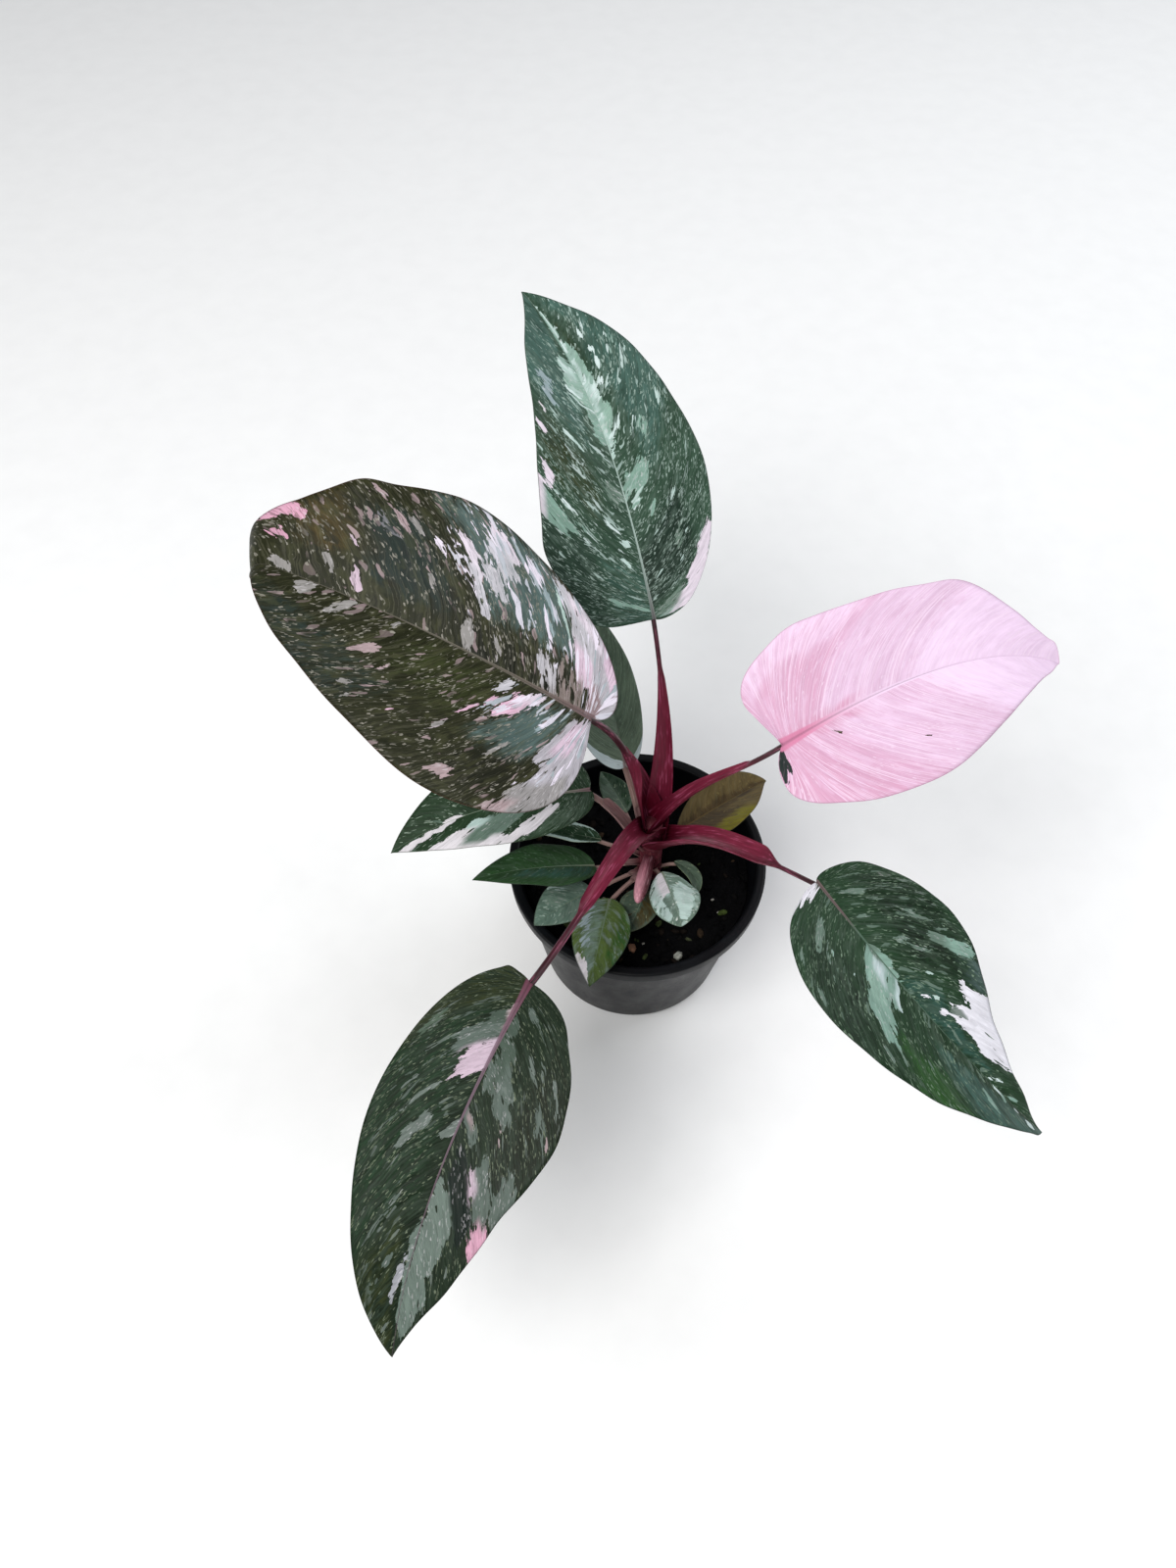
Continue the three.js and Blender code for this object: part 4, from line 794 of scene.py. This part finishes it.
def leaf_material(name, look):
    """Satin leaf skin: flecks, spots, haze and marks on the ground, all drawn out along the veins."""
    graph = Graph(f"{name}_skin")
    vein = graph.attribute("vein")["Vector"]
    to_rib, to_edge, share = graph.parts(graph.attribute("rims")["Vector"])
    cover, broken, beneath = graph.parts(graph.attribute("cover")["Vector"])
    zone, paint = graph.attribute("zone"), graph.attribute("paint")["Color"]

    # Strands follow the veins but waver, so that nothing on the leaf is ruler-straight.
    strands = graph.wavy(vein, (9, 20, 1), 3 * look["waver"])
    strands = graph.wavy(strands, (1.1, 3.2, 1), 0.55 * look["waver"])
    broad = graph.noise(strands, (2.2, 9, 1), 4, 0.6)
    fine = graph.noise(strands, (0.34, 8, 1))
    clouds = graph.noise(vein, (12, 20, 1))
    blocks, tone, _ = graph.cells(strands, (1.9, 7.0, 1))
    chips, holes, _ = graph.cells(strands, (0.75, 2.8, 1))

    # The edge of a zone is drawn out along the strands.
    inside = zone["Alpha"]
    half_open = graph.times(graph.times(inside, graph.less(1.0, inside)), 4 * look["ragged"])
    pull = graph.times(graph.add(graph.swing(broad, 0.5, 0.25, 0.75), graph.swing(chips, 0.22)), half_open)
    ground = graph.mix(graph.math("ADD", inside, pull, clamp=True), look["ground"], zone["Color"])

    mottle = look["mottle"]
    amount = graph.add(graph.level(broad, 1 - mottle, 1 + mottle),
                       graph.level(fine, -0.7 * mottle, 0.7 * mottle),
                       graph.level(clouds, -0.5 * mottle, 0.5 * mottle))
    bare = graph.shade(ground, amount)
    line_colour, line_amount = look["lines"]
    lines = graph.smooth(graph.noise(strands, (0.38, 40, 1), 2, 0.6), 0.48, 0.68)
    colour = graph.mix(graph.times(lines, line_amount), bare, line_colour)
    haze_colour, haze_amount = look["haze"]
    haze = graph.smooth(graph.noise(strands, (3.2, 10, 1), 3, 0.6), 0.5, 0.64)
    colour = graph.mix(graph.times(haze, haze_amount), colour, haze_colour)

    # Spots of a few mm and flecks of under a mm are chosen cells, more of them in some places.
    crowd = graph.noise(vein, (7, 13, 1))
    for key, size, most in (("spots", (1.1, 4.2, 1), 0.1), ("flecks", (0.36, 1.3, 1), 0.2)):
        its_colour, its_amount = look[key]
        chance, strength, _ = graph.cells(strands, size)
        limit = graph.spread(crowd, 0.34, 0.66, 1 - 0.12 * most * its_amount, 1 - most * its_amount)
        chosen = graph.smooth(graph.less(chance, limit), 0.0, 0.02)
        chosen = graph.times(chosen, graph.spread(strength, 0.0, 1.0, 0.2, 0.85))
        colour = graph.mix(chosen, colour, its_colour)

    # Marks are torn along the strands, and fine streaks of the ground run through them.
    torn = graph.add(cover, graph.swing(blocks, 0.24), graph.swing(chips, 0.15),
                     graph.swing(broad, 0.22, 0.25, 0.75))
    torn = graph.less(torn, graph.smooth(holes, 0.988, 0.992))
    marked = graph.times(graph.smooth(torn, 0.485, 0.515), graph.smooth(cover, 0.0, 0.06))
    tint = graph.add(graph.spread(tone, 0.0, 1.0, 0.9, 1.06), graph.level(fine, -0.1, 0.1),
                     graph.level(broad, -0.12, 0.12))
    streaks = graph.times(graph.smooth(fine, 0.51, 0.67), look["streaks"])
    mark = graph.mix(streaks, graph.shade(paint, tint), bare)
    mark = graph.mix(graph.times(chosen, 0.45), mark, "white")
    colour = graph.mix(marked, colour, mark)

    # Shards of two pale colours, long and narrow, where the leaf is broken up.
    chance, tone, _ = graph.cells(strands, (2.1, 10.0, 1))
    chance = graph.add(chance, graph.swing(chips, 0.1), graph.less(broken, 1.0))
    chance = graph.times(graph.smooth(chance, 0.0, 0.02), graph.smooth(broken, 0.01, 0.04))
    shard = graph.mix(tone, *look["shards"])
    shard = graph.mix(graph.times(graph.smooth(fine, 0.56, 0.7), look["streaks"]), shard, bare)
    colour = graph.mix(graph.times(chance, 0.92), colour, shard)

    # The midrib is two lines with a groove between them, fading towards the tip. The groove's middle is
    # painted darker: painted shade in the groove.
    groove = graph.less(1.0, graph.smooth(to_rib, 0.05, 0.4))
    rib = graph.less(1.0, graph.smooth(to_rib, 0.75, 1.1))
    rib = graph.times(rib, graph.spread(share, 0.7, 0.98, 0.9, 0.25))
    rib_colour = graph.shade(graph.attribute("rib")["Color"], graph.less(1.05, graph.times(groove, 0.35)))
    colour = graph.mix(rib, colour, rib_colour)
    edge = graph.less(1.0, graph.smooth(to_edge, 0.1, 0.6))
    colour = graph.mix(graph.times(edge, 0.7), colour, look["edge"])
    dull = graph.mix(0.35, colour, "light_pink" if name == "pink_leaf" else "grey_green")
    colour = graph.mix(beneath, colour, dull)

    ridge_spacing = 1.9
    ridges = graph.times(graph.parts(strands)[0], 2 * math.pi / ridge_spacing)
    height = graph.add(graph.times(graph.math("SINE", ridges, 0.0), 0.3), graph.times(fine, 0.7))
    roughness = graph.add(graph.level(broad, 0.4, 0.52), graph.times(beneath, 0.14))
    return graph.surface(colour, roughness, height, 0.06, 0.11)


# ---- stalks

SHEATH = {"clasp": 0.2, "narrowing": 1.3, "depth": 0.42, "rise": 0.55,
          "clasp_rise": 1.05, "round": 0.8, "hollow": -0.1}
HANDLE = 0.36
UNDER_BLADE = 1.2
HALF_BLADE = 0.4
CURVE_STEPS = 400

# Stalk colours: at the crown, along the sheath, past its end and under the blade. The darker colour at the
# crown is painted shade, where the stalks crowd round the stem.
STALKS = {"red": ((80, 8, 28), (116, 32, 56), (62, 24, 34), (54, 34, 38)),
          "pale": ((96, 44, 52), (140, 108, 108), (150, 122, 116), (130, 108, 100))}


def stalk_curve(leaf, steps):
    """Shares, centres, tangents and length of even steps along the stalk, as in the CAD."""
    height, heading, pitch = leaf["root"]
    start = np.array([STEM["x"], STEM["y"], height]) + direction(heading, 0) * leaf["offset"]
    _, tangent, _, normal = (part[0] for part in midrib(leaf))
    seat = tangent * UNDER_BLADE * leaf["radius"] - normal * (leaf["radius"] + HALF_BLADE)
    finish = np.array(leaf["base"]) + seat
    handle = HANDLE * np.linalg.norm(finish - start)
    leaving, arriving = direction(heading, pitch) * handle, direction(*leaf["end"]) * handle
    anchors = [start, start + leaving, finish - arriving, finish]
    t = np.linspace(0, 1, CURVE_STEPS)[:, None]
    weights = ((1 - t) ** 3, 3 * t * (1 - t) ** 2, 3 * t ** 2 * (1 - t), t ** 3)
    curve = sum(w * a for w, a in zip(weights, anchors))
    way = travelled(curve, 0)
    share = np.linspace(0, 1, steps + 1)
    centres = np.stack([np.interp(share * way[-1], way, curve[:, k]) for k in range(3)], 1)
    return share, centres, unit(np.gradient(centres, axis=0)), way[-1]


def stalk(name):
    """A stalk with the wings of its sheath, for the CAD's stalk of this name."""
    leaf = LEAVES[name]
    steps, sides = leaf["rings"]
    share, centres, tangents, length = stalk_curve(leaf, steps)
    sheath_end, wide, narrow = leaf["sheath"]
    winged = 1 - smooth(share, sheath_end - leaf["fade"], sheath_end + leaf["fade"])
    clasped = 1 - smooth(share, 0, SHEATH["clasp"])
    wing = mix(wide, narrow, np.minimum(share / sheath_end, 1) ** SHEATH["narrowing"])
    half_width = mix(leaf["radius"], wing, winged)[:, None]
    depth = mix(leaf["radius"], np.maximum(leaf["radius"], SHEATH["depth"] * wing), winged)[:, None]
    rise = (mix(SHEATH["rise"], SHEATH["clasp_rise"], clasped) * winged * wing)[:, None]
    fullness = mix(SHEATH["round"], SHEATH["hollow"], winged)[:, None]

    angle = np.linspace(0, 2 * math.pi, sides, endpoint=False)[None, :]
    x = half_width * np.cos(angle)
    y = np.sin(angle) * np.where(angle < math.pi, depth * fullness, depth) + rise * np.cos(angle) ** 2
    left = unit(np.stack([-tangents[:, 1], tangents[:, 0], 0 * tangents[:, 0]], 1))
    upper = np.cross(tangents, left)
    rings = centres[:, None] + left[:, None] * x[..., None] + upper[:, None] * y[..., None]

    tone, *stops = (linear(colour) for colour in STALKS[leaf["stalk"]])
    for stop, low, high in zip(stops, (0.05, sheath_end - 0.1, 0.85), (0.3, sheath_end + 0.1, 1)):
        tone = mix(tone, stop, smooth(share, low, high)[:, None])
    tone = np.repeat(tone[:, None], sides, 1)
    around = np.stack([x, np.sin(angle) * depth, 0 * x + (share * length)[:, None]], -1)

    vertices = np.concatenate([rings.reshape(-1, 3), rings[:1].mean(1), rings[-1:].mean(1)])
    attributes = {key: np.concatenate([values.reshape(-1, values.shape[-1]), values[0, :1], values[-1, :1]])
                  for key, values in (("around", around), ("tone", tone))}
    piece = mesh_object(f"{name}_petiole", vertices, tube_faces(steps + 1, sides), attributes)
    slot = f"stalk_{leaf['stalk']}"
    finished(piece, MATERIALS[slot], slot, f"{name}_stalk")


def stalk_material(name, pale_streak):
    """Satin skin with fine streaks along the stalk."""
    graph = Graph(name)
    around = graph.attribute("around")["Vector"]
    streaks = graph.noise(around, (0.5, 0.5, 11), 3, 0.55)
    blotches = graph.noise(around, (3, 3, 9))
    colour = graph.shade(graph.attribute("tone")["Color"], graph.level(streaks, 0.7, 1.3))
    light = graph.smooth(graph.add(streaks, graph.times(blotches, 0.5)), 0.8, 0.98)
    colour = graph.mix(graph.times(light, 0.55), colour, pale_streak)
    return graph.surface(colour, graph.level(blotches, 0.34, 0.48), streaks, 0.08, 0.25)


# ---- lathed pieces


def lathe(profile, sides):
    """A solid turned round Z from points of radius and height in mm, first and last on the axis."""
    angle = np.linspace(0, 2 * math.pi, sides, endpoint=False)
    rings = [np.stack([r * np.cos(angle), r * np.sin(angle), np.full(sides, z)], 1) for r, z in profile[1:-1]]
    ends = [np.array([[0, 0, profile[k][1]]]) for k in (0, -1)]
    return np.concatenate(rings + ends), tube_faces(len(rings), sides)


def rounded(corner, before, after, radius):
    """Points of the arc that rounds a corner of a profile."""
    corner, before, after = (np.array(p, float) for p in (corner, before, after))
    start, end = corner + unit(before - corner) * radius, corner + unit(after - corner) * radius
    t = np.linspace(0, 1, 5)[:, None]
    return [tuple(p) for p in (1 - t) ** 2 * start + 2 * t * (1 - t) * corner + t ** 2 * end]


POT = {"height": 80, "rim": 60, "base": 45, "wall": 1.2, "floor": 2, "lip_height": 7, "lip_width": 3.4,
       "lip_draft": 0.4, "base_round": 3, "neck_round": 0.4, "lip_low_round": 0.5, "lip_round": 1.3,
       "floor_draft": 0.4, "floor_round": 1.5, "floor_rings": (20, 38), "sides": 160}
DRAIN = {"count": 6, "radius": 4.5, "ring": 33, "low": -5, "high": 12, "sides": 40}


def pot_outer(z):
    """Radius of the pot's outer wall at a height."""
    return mix(POT["base"], POT["rim"] - POT["lip_width"], z / POT["height"])


def pot():
    base, rim, wall, height, floor = (POT[key] for key in ("base", "rim", "wall", "height", "floor"))
    under_lip = height - POT["lip_height"]
    corners = [
        (base, 0, POT["base_round"]), (pot_outer(under_lip), under_lip, POT["neck_round"]),
        (rim - POT["lip_draft"], under_lip, POT["lip_low_round"]), (rim, height, POT["lip_round"]),
        (pot_outer(height) - wall, height, POT["lip_round"]),
        (base - wall + POT["floor_draft"], floor, POT["floor_round"])]
    path = [(0, 0)] + [(r, z) for r, z, _ in corners] + [(0, floor)]
    arcs = [rounded((r, z), path[k], path[k + 2], radius) for k, (r, z, radius) in enumerate(corners)]
    small, wide = POT["floor_rings"]
    profile = [(0, 0), (small, 0), (wide, 0), *sum(arcs, []), (wide, floor), (small, floor), (0, floor)]
    made = mesh_object("nursery_pot", *lathe(profile, POT["sides"]), {})
    low, high, radius = DRAIN["low"], DRAIN["high"], DRAIN["radius"]
    cutters = []
    for k in range(DRAIN["count"]):
        points, faces = lathe([(0, low), (radius, low), (radius, high), (0, high)], DRAIN["sides"])
        points += DRAIN["ring"] * direction(360 * k / DRAIN["count"], 0)
        cutters.append(mesh_object(f"drain_cut_{k}", points, faces, {}))
        modifier = made.modifiers.new("drain", "BOOLEAN")
        modifier.object, modifier.operation, modifier.solver = cutters[k], "DIFFERENCE", "EXACT"
    bpy.context.view_layer.update()
    mesh = bpy.data.meshes.new_from_object(made.evaluated_get(bpy.context.evaluated_depsgraph_get()))
    made.modifiers.clear()
    made.data = mesh
    for cutter in cutters:
        bpy.data.objects.remove(cutter)
    mesh.polygons.foreach_set("use_smooth", [abs(p.normal.z) < 0.999 for p in mesh.polygons])
    finished(made, MATERIALS["pot"], "pot", "pot")


def pot_material():
    """Satin black moulded plastic with a fine grain, faint turning lines and dust."""
    graph = Graph("pot_plastic")
    place = graph.place()
    grain = graph.noise(place, (0.0005, 0.0005, 0.0005))
    dust = graph.noise(place, (0.012, 0.012, 0.02), 4, 0.6)
    rings = graph.noise(place, (0.4, 0.4, 0.0016), 2, 0.4)
    colour = graph.mix(graph.smooth(dust, 0.5, 0.72), (6, 7, 10), (12, 15, 19))
    roughness = graph.add(graph.level(dust, 0.36, 0.5), graph.level(grain, -0.03, 0.03))
    height = graph.add(graph.times(grain, 0.5), graph.times(rings, 0.5))
    return graph.surface(colour, roughness, height, 0.06, 0.15)


# ---- soil

SOIL = {"surface": 66, "gap": 0.3, "rings": 90, "sides": 180, "spacing": 0.8, "foot_round": 1.5,
        "crumb_size": 3.2, "crumb_height": 0.9, "tint": (5, 5, 6)}
SOIL_WAVES = ((0.5, 0.31, 0.27, 0.9), (0.35, 0.63, -0.41, 0), (0.25, 0.74, 0.52, 1.3))

# Grains have a size, a width and a height as shares of it, bumps, a tilt, and a share of their
# height that they stand above the soil. Pale ones, by the sum of their colour, stay smaller.
GRAIN = {"seed": 11, "count": 420, "smallest": 0.7, "largest": 2.4, "largest_pale": 1.4, "pale": 400,
         "width": (0.45, 0.9), "height": (0.4, 0.7), "bumps": 0.45, "tilt": 0.5, "out": 0.35}
GRAIN_COLOURS = (((5, 5, 6), 40), ((10, 9, 9), 34), ((24, 19, 16), 12), ((50, 40, 30), 4),
                 ((110, 94, 74), 2), ((160, 158, 150), 1.5), ((56, 66, 38), 2))

# Larger bits where the photo shows them: place along X and Y, size and colour.
BITS = (
    (39.7, -21.7, 2.4, (66, 80, 38)), (18.4, -43.4, 2.6, (146, 148, 140)),
    (-2.6, -40.2, 2.3, (140, 104, 84)), (9.9, -27.1, 1.9, (56, 66, 38)), (23.6, -35, 1.7, (58, 62, 44)))


def soil_height(x, y):
    return SOIL["surface"] + sum(h * np.sin(x * wx + y * wy + phase) for h, wx, wy, phase in SOIL_WAVES)


def crumb(x, y):
    size = SOIL["crumb_size"]
    return noise.fractal(Vector((x / size, y / size, 0)), 0.8, 2.1, 4)


def grain_shape():
    """Points and faces of a ball with a radius of 1."""
    ball = bmesh.new()
    bmesh.ops.create_icosphere(ball, subdivisions=2, radius=1)
    points = np.array([v.co for v in ball.verts])
    faces = [tuple(v.index for v in f.verts) for f in ball.faces]
    ball.free()
    return points, faces


def soil():
    """The potting mix: a crumbly surface with bark, perlite and crumbs, closed down to the floor."""
    rings, sides, low = SOIL["rings"], SOIL["sides"], POT["floor"] + SOIL["gap"]
    angle = np.linspace(0, 2 * math.pi, sides, endpoint=False)
    edge = pot_outer(SOIL["surface"]) - POT["wall"] - SOIL["gap"]
    radii = edge * (np.arange(1, rings + 1) / rings) ** SOIL["spacing"]
    x, y = radii[:, None] * np.cos(angle), radii[:, None] * np.sin(angle)
    top = np.stack([x, y, soil_height(x, y) + SOIL["crumb_height"] * each(crumb, x, y)], -1)
    foot = pot_outer(POT["floor"]) - POT["wall"] - SOIL["gap"] - SOIL["foot_round"]
    bottom = np.stack([foot * np.cos(angle), foot * np.sin(angle), np.full(sides, low)], -1)
    vertices = [top.reshape(-1, 3), bottom, [[0, 0, soil_height(0, 0)]], [[0, 0, low]]]
    faces = [(face[0], *face[:0:-1]) for face in tube_faces(rings + 1, sides)]
    total = (rings + 1) * sides + 2
    tones = [np.tile(linear(SOIL["tint"]), (total, 1))]

    ball_points, ball_faces = grain_shape()
    pick = random.Random(GRAIN["seed"])
    tints, weights = zip(*GRAIN_COLOURS)
    grains = [(math.hypot(x, y), math.atan2(y, x), size, tint) for x, y, size, tint in BITS]
    for _ in range(GRAIN["count"]):
        tint = pick.choices(tints, weights)[0]
        largest = GRAIN["largest_pale" if sum(tint) > GRAIN["pale"] else "largest"]
        size = pick.uniform(GRAIN["smallest"], largest)
        far = min(edge * math.sqrt(pick.random()), edge - size)
        grains.append((far, pick.uniform(0, 2 * math.pi), size, tint))
    for far, heading, size, tint in grains:
        stretch = size * np.array([1, pick.uniform(*GRAIN["width"]), pick.uniform(*GRAIN["height"])])
        bumps = np.array([noise.noise(Vector(p) * 1.6 + Vector((heading * 9, far, 0))) for p in ball_points])
        turn = Matrix.Rotation(pick.uniform(0, math.pi), 3, "Z")
        turn = turn @ Matrix.Rotation(pick.uniform(-GRAIN["tilt"], GRAIN["tilt"]), 3, "X")
        points = ball_points * (1 + GRAIN["bumps"] * bumps[:, None]) * stretch @ np.array(turn).T
        x, y = far * math.cos(heading), far * math.sin(heading)
        vertices.append(points + np.array([x, y, soil_height(x, y) + GRAIN["out"] * stretch[2]]))
        faces += [tuple(total + i for i in face) for face in ball_faces]
        tones.append(np.tile(linear(tint), (len(points), 1)))
        total += len(points)
    piece = mesh_object("potting_mix", np.concatenate(vertices), faces, {"tone": np.concatenate(tones)})
    finished(piece, MATERIALS["soil"], "soil", "soil")


def soil_material():
    graph = Graph("potting_mix")
    place = graph.place()
    crumbs = graph.noise(place, (0.0016, 0.0016, 0.0016), 5, 0.65)
    damp = graph.noise(place, (0.018, 0.018, 0.018))
    colour = graph.shade(graph.attribute("tone")["Color"], graph.level(crumbs, 0.45, 1.55))
    colour = graph.shade(colour, graph.spread(damp, 0.35, 0.65, 0.8, 1.15))
    return graph.surface(colour, graph.level(damp, 0.75, 0.95), crumbs, 0.6, 0.06)


# ---- stem and bud


def stem():
    """The short stem, ringed with leaf scars."""
    bottom, top, radius = STEM["bottom"], STEM["top"], STEM["radius"]
    scars = [leaf["root"][0] - STEM["scar_drop"] for leaf in LEAVES.values()]
    profile = [(0, bottom)]
    for z in np.linspace(bottom, top, STEM["rings"]):
        share = (z - bottom) / (top - bottom)
        swell = sum(math.exp(-((z - scar) / STEM["scar_width"]) ** 2) for scar in scars)
        swell = STEM["scar_rise"] * min(swell, 1)
        profile.append((mix(radius, radius - STEM["narrowing"], share) + swell, z))
    vertices, faces = lathe([*profile, (0, top + STEM["cap"])], STEM["sides"])
    vertices += np.array([STEM["x"], STEM["y"], 0])
    tone = np.tile(linear((92, 38, 48)), (len(vertices), 1))
    piece = mesh_object("crown_stem", vertices, faces, {"around": vertices, "tone": tone})
    finished(piece, MATERIALS["stem"], "stem", "stem")


BUD = {"height": 86, "heading": -103, "pitch": 6, "length": 27, "radius": 3.4, "offset": 3.4, "sides": 40}
BUD_OUTLINE = ((0.75, 0), (1, 0.45), (0.97, 0.62), (0.9, 0.74), (0.78, 0.84), (0.6, 0.92), (0.38, 0.97),
               (0.16, 0.995))


def bud():
    """The blunt pink sheath of a side bud."""
    length, radius, heading = BUD["length"], BUD["radius"], BUD["heading"]
    profile = [(across * radius, along * length) for across, along in BUD_OUTLINE]
    vertices, faces = lathe([(0, 0), *profile, (0, length)], BUD["sides"])
    axis = direction(heading, BUD["pitch"])
    side = unit(np.cross([0, 0, 1], axis))
    turn = np.stack([side, np.cross(axis, side), axis])
    start = np.array([STEM["x"], STEM["y"], BUD["height"]]) + direction(heading, 0) * BUD["offset"]
    base, tip, shade = (linear(colour) for colour in ((128, 50, 70), (204, 144, 158), (84, 26, 38)))
    tone = mix(base, tip, smooth(vertices[:, 2] / length, 0.1, 0.7)[:, None])
    # The tone turns to a deep red on one side of the bud: painted shade.
    tone = mix(tone, shade, smooth(vertices[:, 0] / radius, -0.2, 0.7)[:, None])
    piece = mesh_object("bud_cover", vertices @ turn + start, faces, {"around": vertices, "tone": tone})
    finished(piece, MATERIALS["bud"], "stalk_red", "bud_sheath")


# ---- stage and camera

FLOOR = {"half_side": 3000, "drop": 0.2}
SKY = {"colour": (0.95, 0.97, 1, 1), "strength": 0.32}
LIGHTS = {  # place and aim in m, size in m, power in W and colour
    "key": ((-0.75, -0.9, 1.6), (0, 0, 0.15), 1.3, 32, (1, 0.99, 0.97)),
    "fill": ((1.1, 0.7, 1.4), (0, 0, 0.1), 1.2, 14, (0.94, 0.97, 1))}
CAMERA = {"place": (-0.02331, -0.27733, 0.55442), "down": 56.124, "roll": 0.4635, "lens": 27, "sensor": 36,
          "near": 0.01}


def stage():
    """A plain pale floor."""
    corners = np.array([(-1, -1, 0), (1, -1, 0), (1, 1, 0), (-1, 1, 0)]) * FLOOR["half_side"]
    floor = mesh_object("floor", corners - np.array([0, 0, FLOOR["drop"]]), [(0, 1, 2, 3)], {})
    graph = Graph("floor_paper")
    grain = graph.noise(graph.place(), (0.02, 0.02, 0.02), 3)
    colour = graph.mix(graph.level(grain, 0.0, 1.0), (247, 247, 247), (250, 250, 250))
    floor.data.materials.append(graph.surface(colour, 0.95, grain, 0.004))


def area_light(name, place, aim, size, power, colour):
    light = bpy.data.lights.new(name, "AREA")
    light.shape, light.size, light.energy, light.color = "DISK", size, power, colour
    made = bpy.data.objects.new(name, light)
    made.location = place
    made.rotation_euler = (Vector(aim) - Vector(place)).to_track_quat("-Z", "Y").to_euler()
    bpy.context.scene.collection.objects.link(made)


def light_and_camera():
    scene = bpy.context.scene
    scene.world = bpy.data.worlds.new("studio")
    scene.world.use_nodes = True
    background = scene.world.node_tree.nodes["Background"].inputs
    background["Color"].default_value, background["Strength"].default_value = SKY["colour"], SKY["strength"]
    for name, values in LIGHTS.items():
        area_light(name, *values)

    data = bpy.data.cameras.new("camera")
    data.lens, data.sensor_width, data.clip_start = CAMERA["lens"], CAMERA["sensor"], CAMERA["near"]
    scene.camera = bpy.data.objects.new("camera", data)
    tilt = Matrix.Rotation(math.radians(90 - CAMERA["down"]), 4, "X")
    roll = Matrix.Rotation(math.radians(CAMERA["roll"]), 4, "Z")
    scene.camera.matrix_world = Matrix.Translation(CAMERA["place"]) @ tilt @ roll
    scene.collection.objects.link(scene.camera)
    scene.view_settings.view_transform = "Standard"


# ---- assembly

MATERIALS = {
    "pot": pot_material(), "soil": soil_material(),
    "stalk_red": stalk_material("red_stalk_skin", (186, 96, 130)),
    "stalk_pale": stalk_material("pale_stalk_skin", (206, 186, 174)),
    "stem": stalk_material("stem_skin", (140, 90, 92)),
    "bud": stalk_material("bud_skin", (232, 184, 192)),
}

pot()
soil()
stem()
bud()
for leaf_name in LEAVES:
    blade(leaf_name)
    stalk(leaf_name)
stage()
light_and_camera()
